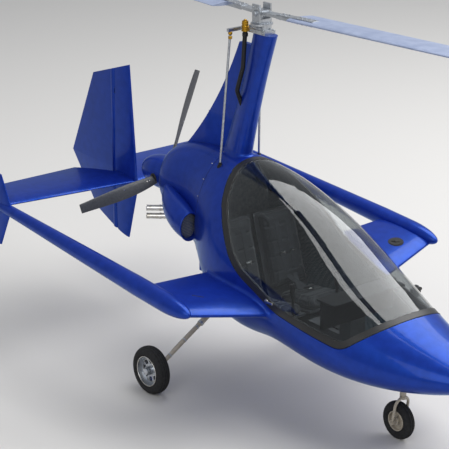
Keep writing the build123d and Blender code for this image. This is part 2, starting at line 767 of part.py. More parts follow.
outlet_low = (outlet_x - outlet_box[0] / 2, -outlet_box[1] / 2, outlet_low_z)
outlet_high = (outlet_x + outlet_box[0] / 2, outlet_box[1] / 2, outlet_low_z + outlet_box[2])
outlet_hole = box_from((outlet_low[0] - 1, outlet_low[1] + outlet_skin, outlet_low[2] + outlet_skin),
                       (outlet_high[0] - outlet_skin, outlet_high[1] - outlet_skin, outlet_high[2]))
belly_outlet = box_from(outlet_low, outlet_high) - outlet_hole - pod_outer


def wheel(tyre_r, tyre_width, shoulder, rim_r, rim_width, hub_r, axle_r, slots):
    """Tyre and rim about the Y axis: a dished rim with slots round its hub, and a rounded tyre."""
    height = tyre_r - rim_r - seat_gap
    section = RectangleRounded(height, tyre_width, min(shoulder, height / 2 - 1))
    tyre = revolve(Pos(rim_r + seat_gap + height / 2, 0) * section, axis=Axis.Y)
    barrel = Pos(rim_r - rim_wall / 2, 0) * Rectangle(rim_wall, rim_width)
    web = Pos((rim_r + axle_r) / 2, 0) * Rectangle(rim_r - axle_r - rim_wall, rim_wall * 2)
    hub = Pos((hub_r + axle_r + running_fit) / 2, 0) * Rectangle(hub_r - axle_r - running_fit, rim_width)
    rim = revolve(barrel + web + hub, axis=Axis.Y)
    slot_r = (rim_r - rim_wall + hub_r) / 2
    slot_width = (rim_r - rim_wall - hub_r) * 0.5
    for index in range(slots):
        turn = Rotation(0, index * 360 / slots, 0)
        rim -= turn * bar_along("Y", slot_width / 2, rim_wall * 4, (slot_r, 0, 0))
    rim -= bar_along("Y", axle_r + running_fit, rim_width * 2, (0, 0, 0))
    return tyre, rim


# Main gear, port side
main_tyre, main_rim = wheel(main_tyre_r, main_tyre_width, main_tyre_shoulder, main_rim_r, main_rim_width,
                            main_hub_r, main_axle_r, rim_slot_count)
main_place = Location((main_axle_x, half_track, main_tyre_r))
main_tyre_left = main_place * main_tyre
main_rim_left = main_place * main_rim
leg_foot_z = main_tyre_r + (knuckle_top - knuckle_half)
leg_top_z = leg_foot_z + (leg_foot_y - leg_top_y) * leg_rise
leg_sleeve_z = leg_foot_z + (leg_foot_y - leg_sleeve_y) * leg_rise
leg_top = (main_axle_x, leg_top_y, leg_top_z)
leg = between((main_axle_x, leg_foot_y, leg_foot_z), leg_top, leg_r)
leg += between((main_axle_x, leg_sleeve_y, leg_sleeve_z), leg_top, leg_sleeve_r)
leg -= pod_outer
knuckle_inner_y = leg_foot_y - knuckle_half
knuckle_outer_y = half_track - main_rim_width / 2 - moving_gap
knuckle = box_from((main_axle_x - knuckle_half, knuckle_inner_y, main_tyre_r - knuckle_half),
                   (main_axle_x + knuckle_half, knuckle_outer_y, main_tyre_r + knuckle_top))
axle_tip_y = half_track + main_rim_width / 2 + axle_end
axle_left = knuckle + between((main_axle_x, knuckle_outer_y, main_tyre_r),
                              (main_axle_x, axle_tip_y, main_tyre_r), main_axle_r)
leg_left = leg - axle_left

# Nose gear
nose_tyre, nose_rim = wheel(nose_tyre_r, nose_tyre_width, nose_tyre_shoulder, nose_rim_r, nose_rim_width,
                            nose_hub_r, nose_axle_r, 0)
nose_place = Location((nose_axle_x, 0, nose_tyre_r))
nose_tyre = nose_place * nose_tyre
nose_rim = nose_place * nose_rim
nose_strut = between((nose_steer_x, 0, strut_low_z), (nose_steer_x, 0, strut_top_z), strut_r)
stem_top_z = strut_low_z + stem_length
nose_strut -= between((nose_steer_x, 0, strut_low_z), (nose_steer_x, 0, stem_top_z + moving_gap),
                      stem_r + running_fit)
nose_strut = nose_strut - pod_outer

# Nose fork: one tube bent to an upside-down U, its plane leaning from the axle to the crown
fork_top_z = strut_low_z - moving_gap
fork_arm_y = nose_tyre_width / 2 + fork_arm_gap + fork_tube_r
fork_foot = Vector(nose_axle_x, 0, nose_tyre_r)
fork_rise = Vector(nose_steer_x, 0, fork_top_z - fork_tube_r) - fork_foot
fork_straight = fork_rise.length - fork_arm_y
fork_path = Wire([
    Line((-fork_arm_y, 0), (-fork_arm_y, fork_straight)),
    ThreePointArc((-fork_arm_y, fork_straight), (0, fork_rise.length), (fork_arm_y, fork_straight)),
    Line((fork_arm_y, fork_straight), (fork_arm_y, 0)),
])
fork_start = Plane(origin=(-fork_arm_y, 0, 0), z_dir=(0, 1, 0))
fork_tube = sweep(fork_start * Circle(fork_tube_r), path=fork_path)
fork_plane = Plane(origin=fork_foot, x_dir=(0, 1, 0), z_dir=(fork_rise.Z, 0, -fork_rise.X))
nose_fork = fork_plane * fork_tube
nose_fork += between((nose_steer_x, 0, fork_top_z - 2 * fork_tube_r), (nose_steer_x, 0, fork_top_z), strut_r)
nose_fork += between((nose_steer_x, 0, fork_top_z - fork_tube_r), (nose_steer_x, 0, stem_top_z), stem_r)
for side in (-1, 1):
    nose_fork += bar_along("Y", fork_boss_r, 2 * fork_tube_r, (nose_axle_x, side * fork_arm_y, nose_tyre_r))
nose_axle_length = 2 * (fork_arm_y + fork_tube_r + nose_axle_end)
nose_fork += bar_along("Y", nose_axle_r, nose_axle_length, (nose_axle_x, 0, nose_tyre_r))
nose_fork -= bar_along("Y", tow_bore_r, nose_axle_length * 2, (nose_axle_x, 0, nose_tyre_r))

# Cabin
cabin_fill = pod(skin + seat_gap)
pad_room = pod(skin + moving_gap)
cabin_floor = cabin_fill & box_from((firewall_x, -pod_reach, floor_z - floor_t),
                                    (floor_front_x, pod_reach, floor_z))
firewall = cabin_fill & box_from((firewall_x - firewall_t, -pod_reach, 0),
                                 (firewall_x, pod_reach, 2 * pod_reach))


def seat_slab(inner, outer, width):
    """A seat's L in side view, between two offsets above its line, extruded across the seat."""
    pan = Vector(seat_front[0] - seat_heel[0], seat_front[1] - seat_heel[1]).normalized()
    back = Vector(seat_head[0] - seat_heel[0], seat_head[1] - seat_heel[1]).normalized()
    pan_up = Vector(-pan.Y, pan.X)
    back_up = Vector(back.Y, -back.X)
    front, heel, head = Vector(*seat_front), Vector(*seat_heel), Vector(*seat_head)

    def corner(rise):
        return heel + (pan_up + back_up) * (rise / (1 + pan_up.dot(back_up)))

    points = [front + pan_up * inner, corner(inner), head + back_up * inner,
              head + back_up * outer, corner(outer), front + pan_up * outer]
    face = make_face(Polyline(*[(p.X, p.Y) for p in points], close=True))
    return extrude(Plane.XZ * face, amount=width / 2, both=True)


seat_shell = seat_slab(-seat_shell_t, 0, seat_width)
pillar_half = seat_width / 2 - pillar_inset
seat_pillar = box_from((seat_heel[0] + pillar_inset, -pillar_half, floor_z),
                       (seat_front[0] - pillar_inset, pillar_half, seat_heel[1]))
seat_pillar -= seat_slab(-seat_shell_t, seat_width, 2 * seat_width)
seat_shell += seat_pillar
seat_pad = seat_slab(seat_gap, cushion_t, seat_width - 2 * cushion_margin)
seat_places = [Location((0, side * seat_y, 0)) for side in (-1, 1)]
seats = [(place * seat_shell) & cabin_fill for place in seat_places]
seat_pads = [(place * seat_pad) & pad_room for place in seat_places]

panel_high_z = panel_low_z + panel_size[2]
panel = box_from((panel_x, -panel_size[1] / 2, panel_low_z),
                 (panel_x + panel_size[0], panel_size[1] / 2, panel_high_z))
hood = box_from((panel_x - panel_hood_lip, -panel_size[1] / 2, panel_high_z),
                (panel_x + panel_hood_length, panel_size[1] / 2, panel_high_z + panel_hood_t))
instrument_panel = (panel + hood) & cabin_fill
console_half = console_width / 2
console = box_from((console_rear_x, -console_half, floor_z),
                   (panel_x, console_half, floor_z + console_height))
console += box_from((panel_x - console_column, -console_half, floor_z), (panel_x, console_half, panel_low_z))
console += box_from((panel_x, -console_half, floor_z), (panel_x + panel_size[0], console_half, panel_low_z))

sticks = []
for side in (-1, 1):
    foot = (stick_x, side * seat_y, floor_z)
    top = (stick_x, side * seat_y, floor_z + stick_height)
    grip = (stick_x - stick_lean, side * seat_y, floor_z + stick_height + stick_grip_height)
    sticks.append(between(foot, top, stick_r) + between(top, grip, stick_grip_r))
pedals = []
for y in [side * seat_y + lean for side in (-1, 1) for lean in (-pedal_spread, pedal_spread)]:
    plate = box_from((pedal_x, y - pedal_size[1] / 2, pedal_low_z),
                     (pedal_x + pedal_size[0], y + pedal_size[1] / 2, pedal_low_z + pedal_size[2]))
    arm_x = pedal_x + pedal_size[0] / 2
    pedals.append(plate + between((arm_x, y, floor_z), (arm_x, y, pedal_low_z + pedal_arm_r), pedal_arm_r))

nodes = {
    "pod_shell": [pod_shell],
    "pod_belly": [pod_belly],
    "engine_cowl": [engine_cowl],
    "firewall": [firewall],
    "cabin_floor": [cabin_floor],
    "canopy_frame": [canopy_frame],
    "canopy_glass": [canopy_glass],
    "canopy_hinge_knuckles": [knuckle for knuckle, foot in canopy_hinges],
    "canopy_hinge_feet": [foot for knuckle, foot in canopy_hinges],
    "mast_pylon": [mast_pylon],
    "mast_gusset": [mast_gusset],
    "rotor_head": [rotor_head],
    "rotor_hub": [rotor_hub],
    "teeter_bar": [teeter_bar],
    "rotor_blades": [fore_blade, aft_blade],
    "control_yoke": [control_yoke],
    "control_rods": control_rods,
    "rotor_drive": [rotor_drive],
    "rotor_drive_shaft": [drive_shaft],
    "boom_left": [boom_left],
    "boom_right": [mirrored(boom_left)],
    "wing_left": [wing_left],
    "wing_right": [mirrored(wing_left)],
    "fuel_cap": [fuel_cap],
    "tie_down_lugs": [tie_down, mirrored(tie_down)],
    "tailplane": [tailplane],
    "centre_fin_upper": [fin_upper],
    "centre_fin_lower": [fin_lower],
    "rudder": [rudder],
    "outer_fins": [outer_fin, mirrored(outer_fin)],
    "engine_block": [engine],
    "exhaust_pipes": exhausts + [mirrored(pipe) for pipe in exhausts],
    "spinner": [spinner],
    "propeller_blades": prop_blades,
    "cheek_scoops": [cheek_scoop, mirrored(cheek_scoop)],
    "belly_outlet": [belly_outlet],
    "gear_legs": [leg_left, mirrored(leg_left)],
    "main_axles": [axle_left, mirrored(axle_left)],
    "main_rim_left": [main_rim_left],
    "main_rim_right": [mirrored(main_rim_left)],
    "main_tyre_left": [main_tyre_left],
    "main_tyre_right": [mirrored(main_tyre_left)],
    "nose_strut": [nose_strut],
    "nose_fork": [nose_fork],
    "nose_rim": [nose_rim],
    "nose_tyre": [nose_tyre],
    "seat_shells": seats,
    "seat_pads": seat_pads,
    "instrument_panel": [instrument_panel],
    "centre_console": [console],
    "control_sticks": sticks,
    "rudder_pedals": pedals,
}

for name, shapes in nodes.items():
    solids = [solid for shape in shapes for solid in shape.solids()]
    export_step(Compound(children=solids) if len(solids) > 1 else solids[0], f"parts/{name}.step")
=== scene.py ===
"""Looks of a two-seat cabin gyroplane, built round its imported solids. Metres, in the part's own frame."""
import math

import bmesh
import bpy
from mathutils import Matrix, Vector
from mathutils.bvhtree import BVHTree


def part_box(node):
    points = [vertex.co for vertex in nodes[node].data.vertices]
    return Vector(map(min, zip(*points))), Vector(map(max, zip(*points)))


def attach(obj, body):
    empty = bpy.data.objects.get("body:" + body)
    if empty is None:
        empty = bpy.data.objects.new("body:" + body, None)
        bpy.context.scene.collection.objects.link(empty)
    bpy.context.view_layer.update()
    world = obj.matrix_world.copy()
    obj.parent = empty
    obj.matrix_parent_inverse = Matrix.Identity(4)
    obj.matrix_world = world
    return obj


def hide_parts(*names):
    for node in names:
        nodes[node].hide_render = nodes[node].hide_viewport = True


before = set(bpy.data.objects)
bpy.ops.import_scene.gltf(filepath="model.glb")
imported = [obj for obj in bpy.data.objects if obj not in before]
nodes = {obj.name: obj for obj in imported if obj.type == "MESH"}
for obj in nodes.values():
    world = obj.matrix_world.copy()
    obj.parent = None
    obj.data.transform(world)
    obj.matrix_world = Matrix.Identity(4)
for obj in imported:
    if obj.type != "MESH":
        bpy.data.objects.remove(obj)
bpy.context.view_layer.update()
MM = 0.001


# Materials

def linear(code):
    """An sRGB hex colour as the linear RGBA that Blender's sockets take."""
    parts = [int(code[i:i + 2], 16) / 255 for i in (1, 3, 5)]
    return tuple(c / 12.92 if c <= 0.04045 else ((c + 0.055) / 1.055) ** 2.4 for c in parts) + (1.0,)


def add(tree, kind, inputs=None, **settings):
    """Adds a node. Inputs maps a socket to a value or to the output that feeds it."""
    made = tree.nodes.new(kind)
    for key, value in settings.items():
        setattr(made, key, value)
    for key, value in (inputs or {}).items():
        if isinstance(value, bpy.types.NodeSocket):
            tree.links.new(value, made.inputs[key])
        else:
            made.inputs[key].default_value = value
    return made


def material(name, **sockets):
    """A new material and its node tree; the sockets set the shader's constant values."""
    made = bpy.data.materials.new(name)
    made.use_nodes = True
    shader = made.node_tree.nodes["Principled BSDF"]
    for key, value in sockets.items():
        shader.inputs[key.replace("_", " ").title().replace("Ior", "IOR")].default_value = value
    return made, made.node_tree, shader


def per_mm(size):
    """Texture scale at which one cell of a pattern is this many millimetres wide."""
    return 1 / (size * MM)


def mottled(tree, dark, light, size):
    """A colour that wanders between two shades in patches of a size in millimetres."""
    place = add(tree, "ShaderNodeTexCoord")
    noise = add(tree, "ShaderNodeTexNoise",
                {"Vector": place.outputs["Object"], "Scale": per_mm(size), "Detail": 4.0})
    ramp = add(tree, "ShaderNodeValToRGB", {"Fac": noise.outputs["Fac"]})
    ramp.color_ramp.elements[0].position = 0.3
    ramp.color_ramp.elements[1].position = 0.7
    ramp.color_ramp.elements[0].color = linear(dark)
    ramp.color_ramp.elements[1].color = linear(light)
    return ramp.outputs["Color"]


def grainy(tree, shader, size, depth, stretch=(1, 1, 1), low=None, high=None):
    """Bump of a grain size and depth in millimetres, and roughness that follows the grain from low to high."""
    place = add(tree, "ShaderNodeTexCoord")
    spread = add(tree, "ShaderNodeMapping", {"Vector": place.outputs["Object"], "Scale": stretch})
    noise = add(tree, "ShaderNodeTexNoise",
                {"Vector": spread.outputs["Vector"], "Scale": per_mm(size), "Detail": 3.0})
    bump = add(tree, "ShaderNodeBump",
               {"Height": noise.outputs["Fac"], "Strength": 0.4, "Distance": depth * MM})
    tree.links.new(bump.outputs["Normal"], shader.inputs["Normal"])
    if low is not None:
        rough = add(tree, "ShaderNodeMapRange", {"Value": noise.outputs["Fac"], "To Min": low, "To Max": high})
        tree.links.new(rough.outputs["Result"], shader.inputs["Roughness"])


def finish(name, shades, grain=None, **sockets):
    """A material in two shades, mottled as (dark, light, patch size), with a grain where one is given."""
    made, tree, shader = material(name, **sockets)
    tree.links.new(mottled(tree, *shades), shader.inputs["Base Color"])
    if grain:
        grainy(tree, shader, **grain)
    return made


def checked(tree, dark, light, size, turn=(0, 0, 0)):
    """A check of two shades, with squares of a size in millimetres."""
    place = add(tree, "ShaderNodeTexCoord")
    turned = add(tree, "ShaderNodeMapping", {"Vector": place.outputs["Object"], "Rotation": turn})
    return add(tree, "ShaderNodeTexChecker", {"Vector": turned.outputs["Vector"], "Color1": linear(dark),
                                              "Color2": linear(light), "Scale": per_mm(size)})


# Blue lacquer over composite: metal flake in the colour, a cyan glint where the light grazes, a clear top coat
BLUES = ("#142a8e", "#19329e")
FLAKE_SIZE = 60
LACQUER = dict(metallic=0.4, roughness=0.33, coat_weight=0.25, coat_roughness=0.06,
               specular_tint=linear("#35d6f2"))
blue_lacquer = finish("metallic_blue_lacquer", (*BLUES, FLAKE_SIZE), **LACQUER)

# The pod's skin is lacquered outside, where it looks away from the pod's middle line, and lined with grey
# woven composite inside
pod_skin, tree, shader = material("lacquered_skin_with_woven_lining", **LACQUER)
where = add(tree, "ShaderNodeNewGeometry")
along = add(tree, "ShaderNodeSeparateXYZ", {"Vector": where.outputs["Position"]})
LINE_AFT, LINE_FORE = (-0.85, 1.335), (1.5, 0.70)     # ends of the middle line, as x and z
middle = add(tree, "ShaderNodeMapRange",
             {"Value": along.outputs["X"], "From Min": LINE_AFT[0], "From Max": LINE_FORE[0],
              "To Min": LINE_AFT[1], "To Max": LINE_FORE[1]})
MIDDLE_X = 0.9
END_WEIGHT = 0.3       # share of a face's distance fore or aft of the pod's middle that counts
axis = add(tree, "ShaderNodeCombineXYZ", {"X": MIDDLE_X * END_WEIGHT, "Z": middle.outputs["Result"]})
spot = add(tree, "ShaderNodeVectorMath", {0: where.outputs["Position"], 1: (END_WEIGHT, 1, 1)},
           operation="MULTIPLY")
from_axis = add(tree, "ShaderNodeVectorMath", {0: spot.outputs[0], 1: axis.outputs[0]}, operation="SUBTRACT")
facing_out = add(tree, "ShaderNodeVectorMath", {0: from_axis.outputs[0], 1: where.outputs["Normal"]},
                 operation="DOT_PRODUCT")
outside = add(tree, "ShaderNodeMath", {0: facing_out.outputs["Value"], 1: 0.0}, operation="GREATER_THAN")
WEAVE = 14.0   # tow spacing is 2 mm; drawn seven times coarser so that it shows
tows = checked(tree, "#2c2e30", "#484b4e", WEAVE, (0.0, 0.6, 0.6))
paint = mottled(tree, *BLUES, FLAKE_SIZE)
colour = add(tree, "ShaderNodeMix", {"Factor": outside.outputs[0], 6: tows.outputs["Color"], 7: paint},
             data_type="RGBA")
tree.links.new(colour.outputs[2], shader.inputs["Base Color"])
metal = add(tree, "ShaderNodeMath", {0: outside.outputs[0], 1: LACQUER["metallic"]}, operation="MULTIPLY")
tree.links.new(metal.outputs[0], shader.inputs["Metallic"])

# Satin black paint of the canopy frame: even, with a soft sheen
black_paint = finish("satin_black_paint", ("#1d1d1e", "#262627", 40),
                     dict(size=3, depth=0.05, low=0.32, high=0.45), roughness=0.38)

# Blown acrylic glazing: clear with a smoke grey tint, and it lets daylight into the cabin
acrylic, tree, shader = material("blown_acrylic", base_color=linear("#ccd0d1"), roughness=0.03, ior=1.45,
                                 transmission_weight=1.0)
ray = add(tree, "ShaderNodeLightPath")
clear = add(tree, "ShaderNodeBsdfTransparent", {"Color": linear("#c6cacc")})
mixed = add(tree, "ShaderNodeMixShader",
            {0: ray.outputs["Is Shadow Ray"], 1: shader.outputs[0], 2: clear.outputs[0]})
tree.links.new(mixed.outputs[0], tree.nodes["Material Output"].inputs["Surface"])

# Anodised aluminium of the rotor blades: pale, drawn along the span
blade_metal = finish("anodised_aluminium_extrusion", ("#9ba7c4", "#adb8d2", 90),
                     dict(size=4, depth=0.04, stretch=(0.05, 1, 1), low=0.36, high=0.5),
                     metallic=0.75, roughness=0.42)

# Machined aluminium: bright, with fine cutter marks
machined = finish("machined_aluminium", ("#b2b6bb", "#cdd1d6", 25),
                  dict(size=2, depth=0.03, stretch=(1, 1, 0.2), low=0.22, high=0.4),
                  metallic=1.0, roughness=0.3)

# Cast aluminium of the engine: dull grey, pitted by the sand
cast = finish("cast_aluminium", ("#6f7275", "#8e9194", 20),
              dict(size=1.5, depth=0.3, low=0.5, high=0.75), metallic=0.8, roughness=0.6)

# Moulded carbon composite of the propeller: dark grey, silky
prop_black = finish("moulded_carbon_blade", ("#3a3c40", "#4a4c50", 15),
                    dict(size=2, depth=0.05, low=0.38, high=0.55), roughness=0.45)

# Gold anodised fitting of the rotor drive: a warm yellow metal, satin
gold = finish("gold_anodised_aluminium", ("#a87f22", "#c79a35", 12),
              dict(size=1.5, depth=0.03, low=0.22, high=0.4), metallic=0.95, roughness=0.3)

# Drawn steel tube: bright grey with marks along its length
steel = finish("drawn_steel", ("#9fa3a8", "#bfc3c8", 20),
               dict(size=2, depth=0.03, stretch=(1, 1, 0.1), low=0.28, high=0.45),
               metallic=1.0, roughness=0.35)

# Beige stoved paint of the gear: smooth, a soft sheen
beige_paint = finish("beige_stoved_paint", ("#9c9384", "#b3aa9b", 35),
                     dict(size=3, depth=0.05, low=0.38, high=0.55), roughness=0.45, coat_weight=0.2)

# Polished stainless exhaust: mirror bright, straw tinted by heat
polished = finish("polished_stainless", ("#bdb8ae", "#d8d8d8", 30), metallic=1.0, roughness=0.14)

# Tyre rubber: near black, dusty grey in the grain
rubber = finish("tyre_rubber", ("#1b1b1c", "#2a2a2b", 18),
                dict(size=1.2, depth=0.25, low=0.7, high=0.9), roughness=0.8, specular_ior_level=0.3)

# Moulded black nylon: matte, fine spark grain
nylon = finish("moulded_black_nylon", ("#121315", "#1a1b1d", 10),
               dict(size=0.8, depth=0.08, low=0.48, high=0.65), roughness=0.55, specular_ior_level=0.35)

# Grey vinyl trim of the cabin: leather grain, low sheen
vinyl = finish("grained_grey_vinyl", ("#3c3e41", "#4a4c50", 12),
               dict(size=3, depth=0.25, low=0.5, high=0.7), roughness=0.6)

# Carbon weave under lacquer on the cabin floor: dark and light tows in a check, drawn coarse so that it shows
carbon, tree, shader = material("lacquered_carbon_weave", roughness=0.35, coat_weight=0.5, coat_roughness=0.1)
tows = checked(tree, "#1f2123", "#3d4043", WEAVE, (0.0, 0.0, math.radians(45)))
tree.links.new(tows.outputs["Color"], shader.inputs["Base Color"])

# Woven seat cover: two dark threads over and under, each 1 mm, drawn at 6 mm
cover, tree, shader = material("woven_seat_cover", roughness=0.85, sheen_weight=0.25, sheen_roughness=0.5)
threads = checked(tree, "#222427", "#303338", 6)
tree.links.new(threads.outputs["Color"], shader.inputs["Base Color"])
weave = add(tree, "ShaderNodeBump", {"Height": threads.outputs["Fac"], "Strength": 0.3, "Distance": 0.5 * MM})
tree.links.new(weave.outputs["Normal"], shader.inputs["Normal"])

# Polyester harness webbing: dark grey, ribbed across every 2 mm
webbing_cloth = finish("polyester_webbing", ("#26282c", "#34373c", 4),
                       dict(size=2, depth=0.3, stretch=(1, 0.1, 1)), roughness=0.75, sheen_weight=0.2)

# Screen and dial glass: black and glossy
screen_glass = material("black_dial_glass", base_color=linear("#0d0e10"), roughness=0.08, coat_weight=0.5)[0]

# White enamel of the dial marks: clean white, half gloss
white_enamel = material("white_enamel", base_color=linear("#e4e4df"), roughness=0.4)[0]

looks = {
    pod_skin: "pod_shell pod_belly",
    blue_lacquer: "engine_cowl mast_pylon mast_gusset boom_left boom_right wing_left wing_right tailplane "
                  "centre_fin_upper centre_fin_lower rudder outer_fins spinner cheek_scoops belly_outlet",
    black_paint: "canopy_frame canopy_hinge_knuckles canopy_hinge_feet",
    acrylic: "canopy_glass",
    blade_metal: "rotor_blades",
    machined: "rotor_head rotor_hub teeter_bar control_yoke main_rim_left main_rim_right rudder_pedals",
    prop_black: "propeller_blades",
    gold: "rotor_drive",
    steel: "control_rods main_axles tie_down_lugs",
    beige_paint: "gear_legs nose_strut nose_fork nose_rim",
    polished: "exhaust_pipes",
    cast: "engine_block firewall",
    nylon: "fuel_cap instrument_panel control_sticks rotor_drive_shaft",
    rubber: "main_tyre_left main_tyre_right nose_tyre",
    vinyl: "centre_console seat_shells",
    carbon: "cabin_floor",
    cover: "seat_pads",
}
for look, names in looks.items():
    for name in names.split():
        mesh = nodes[name].data
        mesh.materials.clear()
        mesh.materials.append(look)


# Mesh tools

def facing(place, axis):
    """A placing matrix at a point, with its Z along an axis."""
    return Matrix.Translation(Vector(place)) @ Vector(axis).to_track_quat("Z", "Y").to_matrix().to_4x4()


def circle(radius, count=12):
    """Points round a circle, as (across, up)."""
    turns = [2 * math.pi * i / count for i in range(count)]
    return [(radius * math.cos(a), radius * math.sin(a)) for a in turns]


def roll(radius, height, size, count=12):
    """The profile of a round lip, for a lathe."""
    return [(radius + a, height + b) for a, b in circle(size, count)]


def span(bm, rings, closed=False):
    """Faces between rings of corners, each ring with the next; closed also joins the last to the first."""
    pairs = list(zip(rings, rings[1:]))
    if closed:
        pairs.append((rings[-1], rings[0]))
    count = len(rings[0])
    for low, high in pairs:
        for i in range(count):
            j = (i + 1) % count
            corners = list(dict.fromkeys((low[i], low[j], high[j], high[i])))
            if len(corners) > 2:
                bm.faces.new(corners)


def lathe(bm, profile, place, segments=48, closed=False):
    """Turns a profile of (radius, height) points about the Z of a placing matrix; closed joins its ends."""
    rings = []
    for radius, height in profile:
        if radius < 1e-7:
            rings.append([bm.verts.new(place @ Vector((0, 0, height)))] * segments)
        else:
            rings.append([bm.verts.new(place @ Vector((a, b, height))) for a, b in circle(radius, segments)])
    span(bm, rings, closed)


def ring(bm, place, axis, inner, outer, low, high, segments=48):
    """A turned ring with broken outer corners, between two heights along its axis."""
    nick = min(outer - inner, high - low) * 0.25
    profile = [(inner, low), (outer - nick, low), (outer, low + nick),
               (outer, high - nick), (outer - nick, high), (inner, high)]
    lathe(bm, profile, facing(place, axis), segments, closed=True)


def bolt(bm, place, axis, size):
    """A hexagon head on its washer, standing on a surface; size is the head's radius."""
    spot = facing(place, axis)
    foot = size * 0.22
    top = size * 0.95
    lathe(bm, [(0, 0), (size * 1.35, 0), (size * 1.35, foot), (0, foot)], spot, 20)
    lathe(bm, [(0, foot), (size, foot), (size, size * 0.8), (size * 0.82, top), (0, top)], spot, 6)


def screw(bm, place, axis, size):
    """A low round screw head, let a little into the surface."""
    profile = [(0, -0.3), (1, -0.3), (1, 0.1), (0.75, 0.35), (0, 0.42)]
    lathe(bm, [(r * size, h * size) for r, h in profile], facing(place, axis), 16)


def rounded(points, steps=8):
    """A smooth line through a few points."""
    spots = [Vector(p) for p in points]
    spots = [2 * spots[0] - spots[1]] + spots + [2 * spots[-1] - spots[-2]]
    line = []
    for a, b, c, d in zip(spots, spots[1:], spots[2:], spots[3:]):
        for k in range(steps):
            t = k / steps
            bend = 2 * a - 5 * b + 4 * c - d
            twist = 3 * b - a - 3 * c + d
            line.append(0.5 * (2 * b + (c - a) * t + bend * t ** 2 + twist * t ** 3))
    return line + [spots[-2]]


def sweep(bm, line, section, up=(0, 0, 1), closed=False):
    """Carries a closed section of (across, up) points along a line, capped at its ends unless it is a loop."""
    rings = []
    side = None
    count = len(line)
    for i, spot in enumerate(line):
        after = line[(i + 1) % count] if closed else line[min(i + 1, count - 1)]
        before = line[i - 1] if closed else line[max(i - 1, 0)]
        ahead = (after - before).normalized()
        if side is None:
            side = ahead.cross(Vector(up))
        side = (side - ahead * side.dot(ahead)).normalized()
        lift = side.cross(ahead)
        rings.append([bm.verts.new(spot + side * a + lift * b) for a, b in section])
    span(bm, rings, closed)
    if not closed:
        bm.faces.new(rings[0][::-1])
        bm.faces.new(rings[-1])


def block(bm, low, high, place=Matrix.Identity(4), edge=0.0):
    """A box between two corners, with its edges rounded."""
    made = bmesh.ops.create_cube(bm, size=1.0)["verts"]
    low, high = Vector(low), Vector(high)
    for vert in made:
        unit = vert.co + Vector((0.5, 0.5, 0.5))
        vert.co = place @ Vector([a + (b - a) * u for a, b, u in zip(low, high, unit)])
    if edge:
        edges = list({e for v in made for e in v.link_edges})
        bmesh.ops.bevel(bm, geom=edges, offset=edge, segments=3, affect="EDGES", profile=0.5)


def piece(name, bm, body, look, replaces=(), sharp=35.0):
    """Turns a finished bmesh into a piece that rides on a body."""
    bmesh.ops.recalc_face_normals(bm, faces=bm.faces)
    mesh = bpy.data.meshes.new(name)
    bm.to_mesh(mesh)
    bm.free()
    mesh.polygons.foreach_set("use_smooth", [True] * len(mesh.polygons))
    mesh.set_sharp_from_angle(angle=math.radians(sharp))
    mesh.materials.append(look)
    made = bpy.data.objects.new(name, mesh)
    bpy.context.collection.objects.link(made)
    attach(made, body)
    if replaces:
        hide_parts(*replaces)
    return made


def welded(node):
    """A node's mesh in the part's frame with its split corners joined again."""
    bm = bmesh.new()
    bm.from_mesh(nodes[node].data)
    bm.transform(nodes[node].matrix_world)
    bmesh.ops.remove_doubles(bm, verts=bm.verts, dist=2e-6)
    return bm


def surface(*names):
    """The skin of some nodes, for finding the nearest point on it or where a ray meets it."""
    bm = bmesh.new()
    for name in names:
        whole = welded(name)
        mesh = bpy.data.meshes.new("joined")
        whole.to_mesh(mesh)
        whole.free()
        bm.from_mesh(mesh)
        bpy.data.meshes.remove(mesh)
    tree = BVHTree.FromBMesh(bm)
    bm.free()
    return tree


def evenly(points, spacing, closed):
    """A line's points moved to even distances."""
    line = points + points[:1] if closed else points
    lengths = [(b - a).length for a, b in zip(line, line[1:])]
    count = max(8, round(sum(lengths) / spacing))
    out = []
    index = 0
    passed = 0.0
    for k in range(count if closed else count + 1):
        goal = sum(lengths) * k / count
        while index < len(lengths) - 1 and passed + lengths[index] < goal:
            passed += lengths[index]
            index += 1
        out.append(line[index].lerp(line[index + 1], min(1.0, (goal - passed) / max(lengths[index], 1e-9))))
    return out


def edge_loops(node, pick, spacing):
    """Lines of a node's edges that pick(middle, normal, normal) takes, longest first, as (points, closed)."""
    bm = welded(node)
    links = {}
    for edge in bm.edges:
        if len(edge.link_faces) == 2:
            middle = (edge.verts[0].co + edge.verts[1].co) / 2
            first, second = [face.normal for face in edge.link_faces]
            if pick(middle, first, second) or pick(middle, second, first):
                a, b = edge.verts
                links.setdefault(a, []).append(b)
                links.setdefault(b, []).append(a)
    lines = []
    while links:
        ends = [v for v in links if len(links[v]) == 1]
        chain = [min(ends or links, key=lambda v: tuple(v.co))]
        onward = chain
        while onward:
            onward = [v for v in links.pop(chain[-1]) if v in links]
            chain += onward[:1]
        if len(chain) > 2:
            points = [v.co.copy() for v in chain]
            lines.append((evenly(points, spacing, not ends), not ends))
    bm.free()
    return sorted(lines, key=lambda line: len(line[0]), reverse=True)


# Wheels

MAIN_WHEEL = dict(tyre_r=0.190, width=0.112, rim_r=0.120, rim_width=0.092, grooves=(-0.03, -0.01, 0.01, 0.03))
NOSE_WHEEL = dict(tyre_r=0.145, width=0.084, rim_r=0.076, rim_width=0.064, grooves=(-0.018, 0.0, 0.018))
MAIN_EDGE = MAIN_WHEEL["rim_width"] / 2
NOSE_EDGE = NOSE_WHEEL["rim_width"] / 2
WEB_FACE = 0.007       # outer face of a wheel's web, from its middle
GROOVE_DEPTH = 0.0045
GROOVE_WIDTH = 0.006
BEAD_RISE = 0.013      # bead and lower wall, before the wall bulges
CROWN_ROUNDNESS = 0.62


